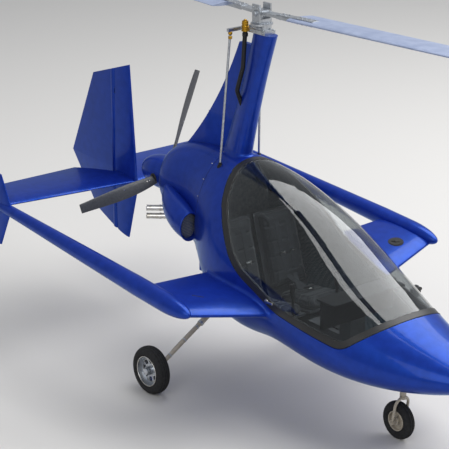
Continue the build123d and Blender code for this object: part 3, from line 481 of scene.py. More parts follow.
def tyre(name, body, centre, node, tyre_r, width, rim_r, rim_width, grooves):
    """A ribbed aircraft tyre: beads on the rim, bulged walls, a rounded crown cut by grooves all round."""
    bead = rim_r + 0.001
    seat = rim_width / 2
    outline = [(bead, seat * 0.96), (bead + 0.006, seat + 0.002)]
    steps = 96
    for k in range(steps + 1):
        turn = math.pi * (0.5 - k / steps)
        across = width / 2 * math.sin(turn)
        radius = bead + BEAD_RISE + (tyre_r - bead - BEAD_RISE) * math.cos(turn) ** CROWN_ROUNDNESS
        in_groove = any(abs(across - g) < GROOVE_WIDTH / 2 for g in grooves)
        outline.append((radius - GROOVE_DEPTH * in_groove, across))
    outline += [(radius, -across) for radius, across in outline[1::-1]]
    bm = bmesh.new()
    lathe(bm, outline, facing(centre, (0, 1, 0)), 112, closed=True)
    return piece(name, bm, body, rubber, (node,), 40)


MAIN_AXLE = Vector((-0.2, 0.914, 0.19))
NOSE_AXLE = Vector((1.566, 0.0, 0.145))
LEG_FOOT = Vector((-0.2, 0.838, 0.198))
LEG_UP = Vector((0.0, -1.0, 0.627)).normalized()
LEG_SLEEVE_Y = 0.43
DISC_FACE = 0.034
HUB_CAP = [(0.018, 0.046), (0.031, 0.046), (0.031, 0.052), (0.027, 0.061), (0.015, 0.0665), (0, 0.068),
           (0, 0.0635), (0.013, 0.062), (0.018, 0.059)]
VALVE = [(0, 0.007), (0.0042, 0.007), (0.0042, 0.020), (0.003, 0.022), (0.003, 0.030), (0, 0.031)]
LEG_BOOT = [(0.022, -0.035), (0.029, -0.033), (0.027, -0.025), (0.034, -0.022), (0.031, -0.013),
            (0.041, -0.009), (0.043, 0.012), (0.022, 0.014)]
STRUT_BOOT = [(0.0242, -0.028), (0.031, -0.026), (0.029, -0.018), (0.037, -0.014), (0.034, -0.006),
              (0.05, -0.002), (0.055, 0.02), (0.0242, 0.02)]
AXLE_NUT = [(0.0115, 0.0), (0.0185, 0.0), (0.0185, 0.008), (0.016, 0.010), (0.0115, 0.010)]
belly = surface("pod_belly")


def around(hub, radius, face, count, phase=0.0):
    """Places round a wheel's hub, face metres to port of it."""
    turns = [2 * math.pi * (k + phase) / count for k in range(count)]
    return [hub + Vector((radius * math.cos(a), face, radius * math.sin(a))) for a in turns]


for side, where in ((1, "left"), (-1, "right")):
    flip = Vector((1, side, 1))
    out = Vector((0, side, 0))
    hub = MAIN_AXLE * flip
    wheel = "wheel_" + where
    tyre("main_tyre_ribbed_" + where, wheel, hub, "main_tyre_" + where, **MAIN_WHEEL)

    # Bright rolled lips on both edges of the rim, a pale hub cap over the axle end, wheel bolts and a valve
    bm = bmesh.new()
    for edge in (MAIN_EDGE, -MAIN_EDGE):
        lathe(bm, roll(0.1165, edge, 0.0045), facing(hub, out), 96, closed=True)
    ring(bm, hub, out, 0.088, 0.094, WEB_FACE, 0.0105, 72)
    piece("rim_lips_" + where, bm, wheel, polished)
    bm = bmesh.new()
    lathe(bm, HUB_CAP, facing(hub, out), 48)
    for spot in around(hub, 0.0445, WEB_FACE * side, 8, 0.5):
        bolt(bm, spot, out, 0.0048)
    piece("hub_cap_" + where, bm, wheel, machined)
    bm = bmesh.new()
    lathe(bm, VALVE, facing(hub + Vector((0, 0, 0.1035)), out), 16)
    piece("tyre_valve_" + where, bm, wheel, nylon)

    # Brake: a riveted disc in the wheel's inner dish and a caliper bolted to the axle's knuckle
    bm = bmesh.new()
    ring(bm, hub, -out, 0.0345, 0.094, 0.029, DISC_FACE, 72)
    for spot in around(hub, 0.078, -DISC_FACE * side, 12):
        screw(bm, spot, -out, 0.004)
    piece("brake_disc_" + where, bm, wheel, steel)
    bm = bmesh.new()
    low, high = sorted((hub.y - 0.040 * side, hub.y - 0.072 * side))
    block(bm, (-0.298, low, 0.168), (-0.252, high, 0.214), edge=0.006)
    low, high = sorted((hub.y - 0.056 * side, hub.y - 0.070 * side))
    block(bm, (-0.258, low, 0.174), (-0.222, high, 0.208), edge=0.003)
    for z in (0.178, 0.204):
        bolt(bm, (-0.275, hub.y - 0.072 * side, z), -out, 0.005)
    piece("brake_caliper_" + where, bm, "airframe", cast)

    # Leg: a ring at the sleeve's end, a brake hose clipped behind it, and a boot where it enters the belly
    up = LEG_UP * flip
    foot = LEG_FOOT * flip
    reach = (foot.y - LEG_SLEEVE_Y * side) / -up.y
    bm = bmesh.new()
    ring(bm, foot + up * reach, up, 0.0165, 0.0255, -0.012, 0.010)
    for share in (0.25, 0.6, 0.9):
        ring(bm, foot + up * reach * share, up, 0.0165, 0.0195, -0.006, 0.006)
    piece("leg_clips_" + where, bm, "airframe", steel)
    bm = bmesh.new()
    path = [(-0.262, hub.y - 0.075 * side, 0.214), (-0.25, hub.y - 0.095 * side, 0.25)]
    for s in (0.08, 0.2, 0.35, 0.45, 0.56, 0.68):
        path.append(foot + up * s + Vector((-0.0225 if s < reach else -0.0285, 0, 0.0)))
    sweep(bm, rounded(path), circle(0.0045, 10))
    lathe(bm, LEG_BOOT, facing(belly.ray_cast(foot, up)[0], up), 40, closed=True)
    piece("brake_hose_" + where, bm, "airframe", nylon)

# Nose wheel: rolled rim lips, hub plates and bolts; nuts on the axle; a boot where the strut enters the belly
tyre("nose_tyre_ribbed", "nose_wheel", NOSE_AXLE, "nose_tyre", **NOSE_WHEEL)
bm = bmesh.new()
for side in (1, -1):
    out = Vector((0, side, 0))
    lathe(bm, roll(0.073, NOSE_EDGE, 0.004), facing(NOSE_AXLE, out), 72, closed=True)
    ring(bm, NOSE_AXLE, out, 0.0125, 0.030, NOSE_EDGE, 0.036)
    for spot in around(NOSE_AXLE, 0.048, WEB_FACE * side, 6):
        bolt(bm, spot, out, 0.0045)
piece("nose_rim_trim", bm, "nose_wheel", beige_paint)
bm = bmesh.new()
for side in (1, -1):
    out = Vector((0, side, 0))
    lathe(bm, AXLE_NUT, facing(NOSE_AXLE + out * 0.0655, out), 6, closed=True)
    bolt(bm, (1.6, 0.0235 * side, 0.334), out, 0.006)
piece("nose_axle_nuts", bm, "nose_fork", steel)
bm = bmesh.new()
entry = belly.ray_cast(Vector((1.6, 0, 0.36)), Vector((0, 0, 1)))[0]
lathe(bm, STRUT_BOOT, facing(entry, (0, 0, 1)), 48, closed=True)
piece("nose_strut_boot", bm, "airframe", nylon)


# Rotor head

HEAD_TOP = 2.755
BAR_Z = 2.882
CONE = math.radians(1.6)
bm = bmesh.new()
for x in (-0.08, 0.08):
    for y in (-0.04, 0.04):
        bolt(bm, (x, y, HEAD_TOP), (0, 0, 1), 0.009)
for side in (1, -1):
    low, high = sorted((0.042 * side, 0.051 * side))
    block(bm, (-0.052, low, 2.757), (0.052, high, 2.783), edge=0.002)
    for x in (-0.038, 0.0, 0.038):
        bolt(bm, (x, 0.051 * side, 2.770), (0, side, 0), 0.006)
    for x in (-0.07, 0.07):
        bolt(bm, (x, 0.052 * side, 2.740), (0, side, 0), 0.007)
ring(bm, (0, 0, 2.785), (0, 0, 1), 0.021, 0.036, 0.0, 0.0035)
piece("head_bolts", bm, "airframe", steel)
bm = bmesh.new()
for k in range(12):
    turn = 2 * math.pi * k / 12
    if abs(math.cos(turn)) > 0.7:
        bolt(bm, (0.072 * math.cos(turn), 0.072 * math.sin(turn), 2.803), (0, 0, 1), 0.0055)
for side in (1, -1):
    bolt(bm, (0, 0.0605 * side, BAR_Z), (0, side, 0), 0.019)
    for x in (-0.026, 0.026):
        for z in (2.815, 2.925):
            bolt(bm, (x, 0.060 * side, z), (0, side, 0), 0.0065)
piece("hub_bolts", bm, "rotor", steel)

# Blade straps with their bolts, and moulded caps on the blade tips
CAP_CHORD = 0.258
CAP_HALF_T = 0.0162
CAP_SIDES = 40
straps = bmesh.new()
heads = bmesh.new()
caps = bmesh.new()
for heading in (0.0, math.pi):
    arm = Matrix.Translation((0, 0, BAR_Z)) @ Matrix.Rotation(heading, 4, "Z") @ Matrix.Rotation(-CONE, 4, "Y")
    for face in (1, -1):
        low, high = sorted((0.0145 * face, 0.019 * face))
        block(straps, (0.365, -0.034, low), (0.60, 0.034, high), arm, edge=0.0015)
        low, high = sorted((0.011 * face, 0.0165 * face))
        block(straps, (0.20, -0.034, low), (0.40, 0.034, high), arm, edge=0.0015)
        for x in (0.23, 0.29, 0.42, 0.47, 0.52, 0.57):
            for y in (-0.02, 0.02):
                spot = arm @ Vector((x, y, (0.0165 if x < 0.4 else 0.019) * face))
                bolt(heads, spot, arm.to_3x3() @ Vector((0, 0, face)), 0.0058)
    outline = []
    for k in range(CAP_SIDES):
        turn = 2 * math.pi * k / CAP_SIDES
        along = 0.5 - 0.5 * math.cos(turn)
        nose = min(along / 0.3, 1.0)
        thick = math.sqrt(1 - (1 - nose) ** 2) if along < 0.3 else 1 - 0.87 * ((along - 0.3) / 0.7) ** 2
        outline.append(((along - 0.3) * CAP_CHORD, math.copysign(thick, math.sin(turn)) * CAP_HALF_T))
    rims = []
    for x, share in ((4.108, 1.0), (4.146, 1.0), (4.1515, 0.94), (4.1525, 0.7)):
        rims.append([caps.verts.new(arm @ Vector((x, y * share, z * share))) for y, z in outline])
    span(caps, rims)
    caps.faces.new(rims[0])
    caps.faces.new(rims[-1])
piece("blade_straps", straps, "rotor", machined)
piece("blade_bolts", heads, "rotor", steel)
piece("blade_tip_caps", caps, "rotor", nylon)

# Rotor drive and control rods: gold collars with a top nut, gold rod ends with lock nuts, gaiters at the
# rods' feet and a sleeve where the flexible shaft enters the drive
DRIVE = Vector((-0.118, -0.062, 0))
COLLARS = [
    # z, radius, height
    (2.726, 0.028, 0.009),
    (2.744, 0.0265, 0.006),
    (2.758, 0.0285, 0.012),
    (2.782, 0.0265, 0.006),
    (2.796, 0.022, 0.010),
]
ROD_GAITER = [(0.0095, -0.030), (0.013, -0.029), (0.012, -0.021), (0.017, -0.017), (0.0145, -0.010),
              (0.022, -0.004), (0.024, 0.030), (0.0095, 0.031)]
bm = bmesh.new()
for z, radius, height in COLLARS:
    ring(bm, DRIVE + Vector((0, 0, z)), (0, 0, 1), 0.006, radius, 0.0, height, 40)
bolt(bm, DRIVE + Vector((0, 0, 2.805)), (0, 0, 1), 0.012)
for side in (1, -1):
    end = Vector((-0.186, 0.150 * side, 2.712))
    ball = [(0.017 * math.sin(math.pi * k / 10), -0.017 * math.cos(math.pi * k / 10)) for k in range(11)]
    lathe(bm, ball, facing(end, (0, 0, 1)), 24)
    ring(bm, end + Vector((0, 0, -0.034)), (0, 0, 1), 0.0092, 0.0155, -0.010, 0.012, 6)
piece("drive_collars_and_rod_ends", bm, "airframe", gold)
bm = bmesh.new()
for side in (1, -1):
    top = Vector((-0.186, 0.150 * side, 2.7))
    foot = Vector((-0.255, 0.195 * side, 1.64))
    along = (foot - top).normalized()
    entry = top + along * ((top.z - 1.668) / -along.z)
    lathe(bm, ROD_GAITER, facing(entry, along), 32, closed=True)
ring(bm, DRIVE + Vector((0, 0, 2.688)), (0, 0, 1), 0.0175, 0.022, 0.0, 0.026, 32)
piece("rod_gaiters", bm, "airframe", nylon)


# Fairings where moulded skins meet

FILLET_SINK = 0.003   # how far a fairing's back lies under the skins it joins


def fillet(name, loop, first, way, second, size):
    """A concave fairing round a joint, from along way on the first skin to outward on the second."""
    bm = bmesh.new()
    way = Vector(way)
    centre = sum(loop, Vector()) / len(loop)
    rows = []
    for i, spot in enumerate(loop):
        ahead = (loop[(i + 1) % len(loop)] - loop[i - 1]).normalized()
        out = spot - centre
        out -= ahead * out.dot(ahead)
        out -= way * out.dot(way)
        start, start_up, _, _ = first.find_nearest(spot + way * size)
        end, end_up, _, _ = second.find_nearest(spot + out.normalized() * size)
        curve = [start.lerp(spot, k / 8).lerp(spot.lerp(end, k / 8), k / 8) for k in range(9)]
        sunk = [(end, end_up), (spot, start_up + end_up), (start, start_up)]
        rows.append([bm.verts.new(p) for p in curve + [p - up * FILLET_SINK for p, up in sunk]])
    span(bm, rows, closed=True)
    return piece(name, bm, "airframe", blue_lacquer, sharp=50)


LOOP_STEP = 0.012
pod_tree = surface("pod_shell", "engine_cowl")
for side, where in ((1, "left"), (-1, "right")):
    wing = "wing_" + where
    wing_tree = surface(wing)
    root = edge_loops(wing, lambda m, a, b: abs(m.y) < 0.7 and a.y * side < -0.5 and abs(b.y) < 0.45,
                      LOOP_STEP)[0][0]
    fillet("wing_root_fairing_" + where, root, wing_tree, (0, side, 0), pod_tree, 0.034)
    tip = edge_loops(wing, lambda m, a, b: abs(m.y) > 1.1 and a.y * side > 0.3 and abs(b.y) < 0.45,
                     LOOP_STEP)[0][0]
    fillet("boom_fairing_" + where, tip, wing_tree, (0, -side, 0), surface("boom_" + where), 0.018)
base = edge_loops("mast_pylon", lambda m, a, b: a.z < -0.4 and abs(b.z) < 0.4 and m.z < 1.85, LOOP_STEP)[0][0]
fillet("mast_base_fairing", base, surface("mast_pylon"), (0, 0, 1), pod_tree, 0.032)

# Nose: a rounded tip over the blunt end of the skin
FLARE = math.radians(40)   # how steeply the skin closes in there
TIP_MIDDLE_Z = 0.690
TIP_HALF_WIDTH = 0.040
TIP_RISE = 0.040
TIP_DROP = 0.035
TIP_FOOT = 0.985           # share of the blunt end that the dome stands on
TIP_BULGE = 0.052
bm = bmesh.new()
arc = [FLARE + (math.pi / 2 - FLARE) * k / 8 for k in range(9)]
dome = [(TIP_FOOT * math.cos(a) / math.cos(FLARE), TIP_BULGE * (math.sin(a) - math.sin(FLARE))) for a in arc]
lathe(bm, [(0, -0.002), (0.97, -0.002)] + dome, Matrix.Identity(4), 64)
tip_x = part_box("pod_shell")[1][0]
for vert in bm.verts:
    up, side, out = vert.co
    vert.co = (tip_x + out, TIP_HALF_WIDTH * side, TIP_MIDDLE_Z + up * (TIP_RISE if up > 0 else TIP_DROP))
piece("nose_tip", bm, "airframe", blue_lacquer)


# Seams and seals

def outward(middle, normal):
    """How far a face on the pod looks away from the pod's middle line."""
    return normal.y * middle.y + normal.z * (middle.z - 0.85)


BELLY_SEAM_Z = 0.64
COWL_FRONT_X = -0.335


def on_opening(middle, first, second):
    """Whether an edge of the shell runs round the canopy's opening."""
    off_seam = abs(middle.z - BELLY_SEAM_Z) > 0.004 and middle.x > -0.3
    return off_seam and abs(first.y) < 0.05 and outward(middle, second) > 0.1


def on_cowl_front(middle, first, second):
    """Whether an edge of the cowling runs round its front end, outside."""
    return first.x > 0.9 and middle.x > COWL_FRONT_X and outward(middle, second) > 0.1


bm = bmesh.new()
line, closed = edge_loops("pod_shell", on_opening, 0.014)[0]
sweep(bm, line, circle(0.0035, 8), closed=closed)
piece("canopy_seal", bm, "airframe", nylon)
bm = bmesh.new()
heads = bmesh.new()
line, closed = edge_loops("engine_cowl", on_cowl_front, 0.02)[0]
sweep(bm, line, circle(0.0012, 6), closed=closed)
for spot in line[::7]:
    near, normal, _, _ = pod_tree.find_nearest(spot + Vector((-0.022, 0, 0)))
    if near.x < COWL_FRONT_X:
        screw(heads, near, normal, 0.0055)
piece("cowl_seam", bm, "airframe", nylon)

# Cheek scoops: rolled lips round the mouths, wire screens in their throats, two bright screws on each
SCOOP_MOUTH = Vector((-0.335, 0.425, 1.205))
SCREEN_X = -0.368
SCREEN_WIDE = 0.084
SCREEN_HIGH = 0.1
WIRE = circle(0.0014, 6)
scoop_tree = surface("cheek_scoops")
lips = bmesh.new()
screens = bmesh.new()
for side in (1, -1):
    mouth = SCOOP_MOUTH * Vector((1, side, 1))
    lines = edge_loops("cheek_scoops", lambda m, a, b: a.x > 0.9 and m.y * side > 0
                       and b.y * (m.y - mouth.y) + b.z * (m.z - mouth.z) > 0.01, LOOP_STEP)
    sweep(lips, lines[0][0], circle(0.005, 10), closed=lines[0][1])
    for k in range(-7, 8):
        share = k / 8
        half = math.sqrt(1 - share ** 2)
        middle = Vector((SCREEN_X, mouth.y + side * share * SCREEN_WIDE, mouth.z))
        reach = Vector((0, 0, half * SCREEN_HIGH))
        sweep(screens, [middle - reach, middle + reach], WIRE, up=(0, 1, 0))
        middle = Vector((SCREEN_X - 0.003, mouth.y, mouth.z + share * SCREEN_HIGH))
        reach = Vector((0, half * SCREEN_WIDE, 0))
        sweep(screens, [middle - reach, middle + reach], WIRE)
    for x, z in ((-0.80, 1.40), (-0.70, 1.375)):
        near, normal, _, _ = scoop_tree.ray_cast(Vector((x, 0.9 * side, z)), Vector((0, -side, -0.15)))
        screw(heads, near, normal, 0.008)
piece("scoop_lips", lips, "airframe", blue_lacquer)
piece("scoop_screens", screens, "airframe", steel)
piece("cowl_fasteners", heads, "airframe", polished)

# Spinner: a dark band at its front edge; propeller roots with a ferrule, and bright screws through the blades
PROP = Vector((-1.18, 0, 1.346))
BLADE_TURNS = [math.radians(67.5 + 120 * k) for k in range(3)]
FERRULE = [(0, 0.10), (0.040, 0.10), (0.040, 0.139), (0.034, 0.146), (0, 0.146)]
prop_tree = surface("propeller_blades")
bm = bmesh.new()
screws = bmesh.new()
ring(bm, (-1.075, 0, PROP.z), (-1, 0, 0), 0.132, 0.1392, -0.003, 0.010, 96)
for turn in BLADE_TURNS:
    blade = Vector((0, math.cos(turn), math.sin(turn)))
    lathe(bm, FERRULE, facing(PROP, blade), 40)
    for reach in (0.19, 0.215, 0.44):
        for face in (1, -1):
            ahead = Vector((face, 0, 0))
            near, normal, _, _ = prop_tree.ray_cast(PROP + blade * reach + ahead * 0.2, -ahead)
            if near:
                screw(screws, near, normal, 0.0055)
piece("spinner_band", bm, "propeller", nylon)
piece("propeller_screws", screws, "propeller", polished)

# Exhausts: rolled lips at the tips and a clamp band outside the cowling
bm = bmesh.new()
for side in (1, -1):
    for z in (1.168, 1.1):
        inner = Vector((-0.79, 0.105 * side, z))
        tip = Vector((-1.03, 0.318 * side, z - 0.014))
        along = (tip - inner).normalized()
        lathe(bm, roll(0.0218, 0.0, 0.0032, 10), facing(tip, along), 40, closed=True)
        ring(bm, tip - along * 0.11, along, 0.0225, 0.0258, -0.007, 0.007, 40)
piece("exhaust_lips", bm, "airframe", polished)

# Fuel filler: a flange round the cap and a folded lever on it; a flush vent on the starboard wing
bm = bmesh.new()
low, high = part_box("fuel_cap")
cap = Vector(((low[0] + high[0]) / 2, (low[1] + high[1]) / 2, 0))
near, normal, _, _ = surface("fuel_cap").ray_cast(cap + Vector((0, 0, 2)), Vector((0, 0, -1)))
ring(bm, near, normal, 0.0535, 0.062, -0.012, -0.0035, 64)
block(bm, (-0.034, -0.007, -0.001), (0.034, 0.007, 0.004), facing(near, normal), edge=0.002)
lathe(bm, [(0, 0.0), (0.013, 0.0), (0.013, 0.004), (0.010, 0.006), (0, 0.006)], facing(near, normal), 32)
VENT_ENDS = ((0.418, -1.0), (0.471, -0.931))
wing_tree = surface("wing_right")
vent = [wing_tree.ray_cast(Vector((x, y, 2)), Vector((0, 0, -1)))[0] for x, y in VENT_ENDS]
sweep(bm, vent, [(-0.006, -0.002), (0.006, -0.002), (0.004, 0.0015), (-0.004, 0.0015)])
piece("fuel_cap_flange", bm, "airframe", nylon)

# Canopy: a bright latch on the starboard sill
bm = bmesh.new()
frame_tree = surface("canopy_frame")
near, normal, _, _ = frame_tree.ray_cast(Vector((0.72, -1.0, 0.945)), Vector((0, 1, 0)))
spot = facing(near, normal)
lathe(bm, [(0, -0.002), (0.019, -0.002), (0.019, 0.004), (0.016, 0.007), (0, 0.007)], spot, 40)
block(bm, (-0.009, -0.009, 0.006), (0.075, 0.009, 0.013), spot, edge=0.003)
piece("canopy_latch", bm, "canopy", polished)


# Seats: cushions blown up as cloth, then stitched

# The seat's line runs from its front edge to the heel and up to the head
HEEL = Vector((0.09, 0, 0.604))
FRONT = Vector((0.56, 0, 0.668))
HEAD = Vector((-0.118, 0, 1.27))
SEAT_Y = 0.222
VOXEL = 0.006
PRESSURE = 4.0
SIM_FRAMES = 20
SWELL_CAP = 0.012
CHANNEL_DEPTH = 0.007
CHANNEL_WIDTH = 0.014


def seat_place(end, turn):
    """A placing matrix at the heel: X towards an end of the seat's line, Z off the seat."""
    along = (end - HEEL).normalized()
    off = Vector((-along.z, 0, along.x)) * turn
    across = off.cross(along)
    return Matrix.Translation(HEEL) @ Matrix((along, across, off)).transposed().to_4x4()


PAN = seat_place(FRONT, 1)
BACK = seat_place(HEAD, -1)


def settled(made):
    """What an object's modifiers make of it at this frame, as a mesh of its own."""
    return bpy.data.meshes.new_from_object(made.evaluated_get(bpy.context.evaluated_depsgraph_get()))


def cushion(name, place, low, high, channels):
    """A stuffed cushion in a seat's frame: a soft block blown up within a cap, with channels sewn across."""
    bm = bmesh.new()
    block(bm, low, high, edge=0.026)
    made = bpy.data.objects.new(name, bpy.data.meshes.new(name))
    bm.to_mesh(made.data)
    bm.free()
    bpy.context.collection.objects.link(made)
    made.modifiers.new("skin", "REMESH").voxel_size = VOXEL
    made.data = settled(made)
    made.modifiers.clear()
    rest = [v.co.copy() for v in made.data.vertices]
    held = made.vertex_groups.new(name="base")
    held.add([i for i, co in enumerate(rest) if co.z < low[2] + 0.012], 1.0, "REPLACE")
    cloth = made.modifiers.new("blown", "CLOTH").settings
    cloth.use_pressure = True
    cloth.uniform_pressure_force = PRESSURE
    cloth.effector_weights.gravity = 0.0
    cloth.vertex_group_mass = "base"
    for step in range(1, SIM_FRAMES + 1):
        bpy.context.scene.frame_set(step)
    blown = [v.co.copy() for v in settled(made).vertices]
    bpy.context.scene.frame_set(1)
    made.modifiers.clear()
    for vert, old, new in zip(made.data.vertices, rest, blown):
        move = new - old
        vert.co = old + move * min(1.0, SWELL_CAP / max(move.length, 1e-9))
    made.modifiers.new("smooth", "SUBSURF").levels = 1
    mesh = settled(made)
    bpy.data.objects.remove(made)
    for vert in mesh.vertices:
        if vert.co.z > (low[2] + high[2]) / 2:
            for spot in channels:
                gap = abs(vert.co.x - spot) / CHANNEL_WIDTH
                vert.co.z -= CHANNEL_DEPTH * math.exp(-gap * gap * 2)
    mesh.transform(place)
    return mesh


WIDE = 0.172
FRAMES = {"pan": PAN, "back": BACK}
cushions = {
    "pan": cushion("pan", PAN, (0.088, -WIDE, 0.002), (0.470, WIDE, 0.078), (0.19, 0.29, 0.39)),
    "back": cushion("back", BACK, (0.096, -WIDE, 0.002), (0.690, WIDE, 0.072), (0.22, 0.34, 0.46, 0.58)),
}
trees = {}
for key, mesh in cushions.items():
    trees[key] = BVHTree.FromPolygons([v.co for v in mesh.vertices], [p.vertices for p in mesh.polygons])


WEBBING_LIFT = 0.0025


def lying(where, along, across):
    """A point just off a cushion's surface, from its place in the seat's frame."""
    place = FRAMES[where]
    off = place.to_3x3() @ Vector((0, 0, 1))
    start = place @ Vector((along, across, 0.3))
    near = trees[where].ray_cast(start, -off)[0]
    return (near or place @ Vector((along, across, 0.08))) + off * WEBBING_LIFT


def strap(bm, spots, wide, up):
    """Flat webbing that lies through some points on the cushions."""
    half = wide / 2
    section = [(-half, -0.0011), (half, -0.0011), (half, 0.0011), (-half, 0.0011)]
    sweep(bm, rounded([lying(*spot) for spot in spots], 6), section, up)


def shifted(mesh, shift):
    """A mesh moved by a shift, as a new bmesh."""
    bm = bmesh.new()
    bm.from_mesh(mesh)
    bm.transform(Matrix.Translation(shift))
    return bm


# Harness: two shoulder straps down the back cushion to a buckle on the lap, and two lap straps from the sides.
# Each row is a place along the seat and a share of the straps' spacing.
STRAP_Y = 0.055
SHOULDER_BACK = ((0.685, 1), (0.6, 1), (0.48, 1), (0.36, 0.95), (0.25, 0.8), (0.17, 0.6))
SHOULDER_PAN = ((0.17, 0.5), (0.225, 0.4))
LAP = ((0.115, 3.0), (0.16, 2.6), (0.20, 1.8), (0.235, 0.9), (0.245, 0.5))
webbing = bmesh.new()
buckle = bmesh.new()
back_up = BACK.to_3x3() @ Vector((0, 0, 1))
pan_up = PAN.to_3x3() @ Vector((0, 0, 1))
for y in (-STRAP_Y, STRAP_Y):
    shoulder = [("back", a, y * s) for a, s in SHOULDER_BACK] + [("pan", a, y * s) for a, s in SHOULDER_PAN]
    strap(webbing, shoulder, 0.044, back_up)
    strap(webbing, [("pan", a, y * s) for a, s in LAP], 0.046, pan_up)
spot = Matrix.Translation(lying("pan", 0.245, 0.0)) @ PAN.to_3x3().to_4x4()
block(buckle, (-0.032, -0.027, 0.0), (0.032, 0.027, 0.015), spot, edge=0.004)
block(buckle, (-0.012, -0.016, 0.013), (0.024, 0.016, 0.018), spot, edge=0.002)
for a in (0.36, 0.34):
    for y in (-0.052, 0.052):
        place = Matrix.Translation(lying("back", a, y)) @ BACK.to_3x3().to_4x4()
        block(buckle, (-0.006, -0.027, 0.001), (0.006, 0.027, 0.006), place, edge=0.0015)
meshes = {}
for key, bm in (("webbing", webbing), ("buckle", buckle)):
    meshes[key] = bpy.data.meshes.new(key)
    bm.to_mesh(meshes[key])
    bm.free()
for side, where in ((1, "left"), (-1, "right")):
    shift = Vector((0, SEAT_Y * side, 0))
    for key, mesh in cushions.items():
        bm = shifted(mesh, shift)
        made = piece(f"seat_{key}_{where}", bm, "airframe", cover, ("seat_pads",), 60)
    piece("harness_" + where, shifted(meshes["webbing"], shift), "airframe", webbing_cloth)
    piece("buckles_" + where, shifted(meshes["buckle"], shift), "airframe", polished)


# Instruments and controls

PANEL_X = 1.085
AFT = Vector((-1, 0, 0))
BEZEL = 0.012
SWITCH = [(0, -0.001), (0.008, -0.001), (0.008, 0.003), (0.0035, 0.004), (0.0035, 0.014), (0.0045, 0.018),
          (0, 0.0195)]
KNOB = [(0, -0.001), (0.011, -0.001), (0.011, 0.010), (0.009, 0.013), (0, 0.013)]
cases, faces, marks, knobs = bmesh.new(), bmesh.new(), bmesh.new(), bmesh.new()
for y in (0.28, 0.195, 0.11):
    for z, reading in ((0.95, 0.7), (0.87, -1.2)):
        spot = Vector((PANEL_X, y, z))
        ring(cases, spot, AFT, 0.029, 0.036, -0.001, 0.008, 48)
        lathe(faces, [(0, -0.001), (0.030, -0.001), (0.030, 0.003), (0, 0.003)], facing(spot, AFT), 48)
        for k in range(12):
            turn = Matrix.Rotation(2 * math.pi * k / 12, 4, "Z")
            block(marks, (0.021, -0.0009, 0.003), (0.027, 0.0009, 0.0036), facing(spot, AFT) @ turn)
        turn = Matrix.Rotation(reading + y * 4, 4, "Z")
        block(marks, (-0.006, -0.0011, 0.0042), (0.023, 0.0011, 0.0048), facing(spot, AFT) @ turn)
        lathe(marks, [(0, 0.003), (0.004, 0.003), (0.004, 0.006), (0, 0.006)], facing(spot, AFT), 16)
for low, high in (((-0.31, 0.835), (-0.09, 0.975)), ((-0.045, 0.895), (0.055, 0.975))):
    block(cases, (PANEL_X - 0.012, *low), (PANEL_X + 0.001, *high), edge=0.003)
    low = [v + BEZEL for v in low]
    high = [v - BEZEL for v in high]
    block(faces, (PANEL_X - 0.0135, *low), (PANEL_X - 0.01, *high), edge=0.0005)
for k in range(9):
    lean = AFT + Vector((0, 0, 0.25 if k % 3 else -0.25))
    lathe(knobs, SWITCH, facing((PANEL_X, -0.3 + 0.075 * k, 0.81), lean), 20)
for y, z in ((-0.03, 0.865), (0.005, 0.865), (0.04, 0.865), (-0.03, 0.842), (0.04, 0.842)):
    lathe(knobs, KNOB, facing((PANEL_X, y, z), AFT), 24)
piece("instrument_cases", cases, "airframe", nylon)
piece("instrument_faces", faces, "airframe", screen_glass)
piece("instrument_marks", marks, "airframe", white_enamel)
piece("panel_switches", knobs, "airframe", machined)

# Throttle on the console, gaiters and buttons on the sticks, ribbed pedal rubbers and the pedals' cross shaft
STICK_GAITER = [(0.0115, 0.001), (0.062, 0.001), (0.056, 0.028), (0.038, 0.040), (0.042, 0.056),
                (0.026, 0.066), (0.030, 0.082), (0.018, 0.090), (0.020, 0.104), (0.0115, 0.105)]
TOP_BUTTON = [(0, -0.001), (0.007, -0.001), (0.007, 0.004), (0, 0.005)]
TRIGGER = [(0, -0.002), (0.006, -0.002), (0.006, 0.006), (0, 0.007)]
SHAFT_X = 1.408
SHAFT_Z = 0.565
RIB_PITCH = 0.017
soft, bright = bmesh.new(), bmesh.new()
block(soft, (0.74, -0.028, 0.649), (0.93, 0.028, 0.664), edge=0.004)
sweep(bright, rounded([(0.80, 0, 0.655), (0.812, 0, 0.70), (0.842, 0, 0.762)]), circle(0.006, 12))
lathe(soft, [(0, -0.022), (0.015, -0.019), (0.022, -0.006), (0.021, 0.010), (0.012, 0.020), (0, 0.022)],
      facing((0.850, 0, 0.779), (0.43, 0, 0.9)), 32)
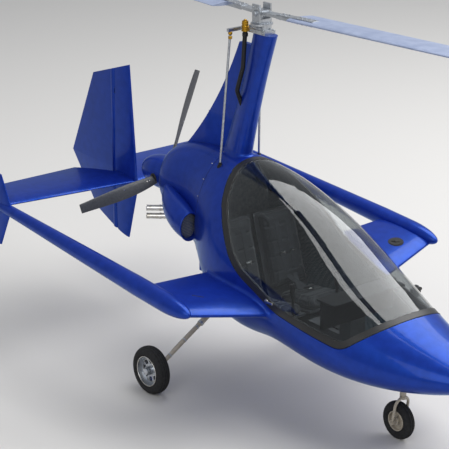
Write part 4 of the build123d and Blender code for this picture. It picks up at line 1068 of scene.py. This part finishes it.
for side in (1, -1):
    stick_y = SEAT_Y * side
    lathe(soft, STICK_GAITER, facing((0.64, stick_y, 0.53), (0, 0, 1)), 40, closed=True)
    lathe(bright, TOP_BUTTON, facing((0.626, stick_y + 0.006, 0.97), (0, 0, 1)), 20)
    lathe(bright, TRIGGER, facing((0.650, stick_y, 0.935), (1, 0, 0.12)), 20)
    for apart in (-0.075, 0.075):
        y = stick_y + apart
        block(soft, (1.394, y - 0.034, 0.598), (1.401, y + 0.034, 0.702), edge=0.002)
        for k in range(6):
            rise = RIB_PITCH * k
            block(soft, (1.390, y - 0.031, 0.604 + rise), (1.396, y + 0.031, 0.612 + rise), edge=0.0015)
        ring(bright, (SHAFT_X, y, SHAFT_Z), (0, 1, 0), 0.0095, 0.0165, -0.014, 0.014, 24)
sweep(bright, [Vector((SHAFT_X, y, SHAFT_Z)) for y in (-0.34, 0.34)], circle(0.0095, 16))
piece("control_rubbers", soft, "airframe", nylon)
piece("control_brightwork", bright, "airframe", polished)


# Stage, light and camera

# Painted floor: pale and matt
floor_finish = material("pale_floor", base_color=linear("#cfcdca"), roughness=0.9)[0]
bm = bmesh.new()
bmesh.ops.create_grid(bm, x_segments=1, y_segments=1, size=60)
floor_mesh = bpy.data.meshes.new("floor")
bm.to_mesh(floor_mesh)
bm.free()
floor = bpy.data.objects.new("floor", floor_mesh)
floor.data.materials.append(floor_finish)
bpy.context.collection.objects.link(floor)

world = bpy.data.worlds.new("studio")
bpy.context.scene.world = world
world.use_nodes = True
sky = world.node_tree.nodes["Background"].inputs
sky["Color"].default_value = linear("#e8ecf2")
sky["Strength"].default_value = 0.45
LAMPS = [
    # name, place, aim, size, watts
    ("key", (2.0, 6.0, 12.0), (0.0, 0.0, 0.8), 15.0, 2600.0),
    ("fill", (6.0, -9.0, 7.0), (0.0, 0.0, 1.0), 9.0, 450.0),
]
for name, spot, aim, size, watts in LAMPS:
    lamp = bpy.data.lights.new(name, "AREA")
    lamp.size = size
    lamp.energy = watts
    holder = bpy.data.objects.new(name, lamp)
    holder.location = spot
    holder.rotation_euler = (Vector(aim) - Vector(spot)).to_track_quat("-Z", "Y").to_euler()
    bpy.context.collection.objects.link(holder)

LOOK_DOWN = 19.299     # degrees, as is the heading
HEADING = 50.884
camera = bpy.data.objects.new("camera", bpy.data.cameras.new("camera"))
camera.data.lens = 147.87
camera.data.sensor_width = 36.0
camera.data.sensor_fit = "HORIZONTAL"
camera.data.clip_end = 200.0
camera.location = (10.201, -8.651, 5.903)
camera.rotation_euler = (math.radians(90 - LOOK_DOWN), 0.0, math.radians(HEADING))
bpy.context.collection.objects.link(camera)
bpy.context.scene.camera = camera
bpy.context.scene.view_settings.view_transform = "Standard"
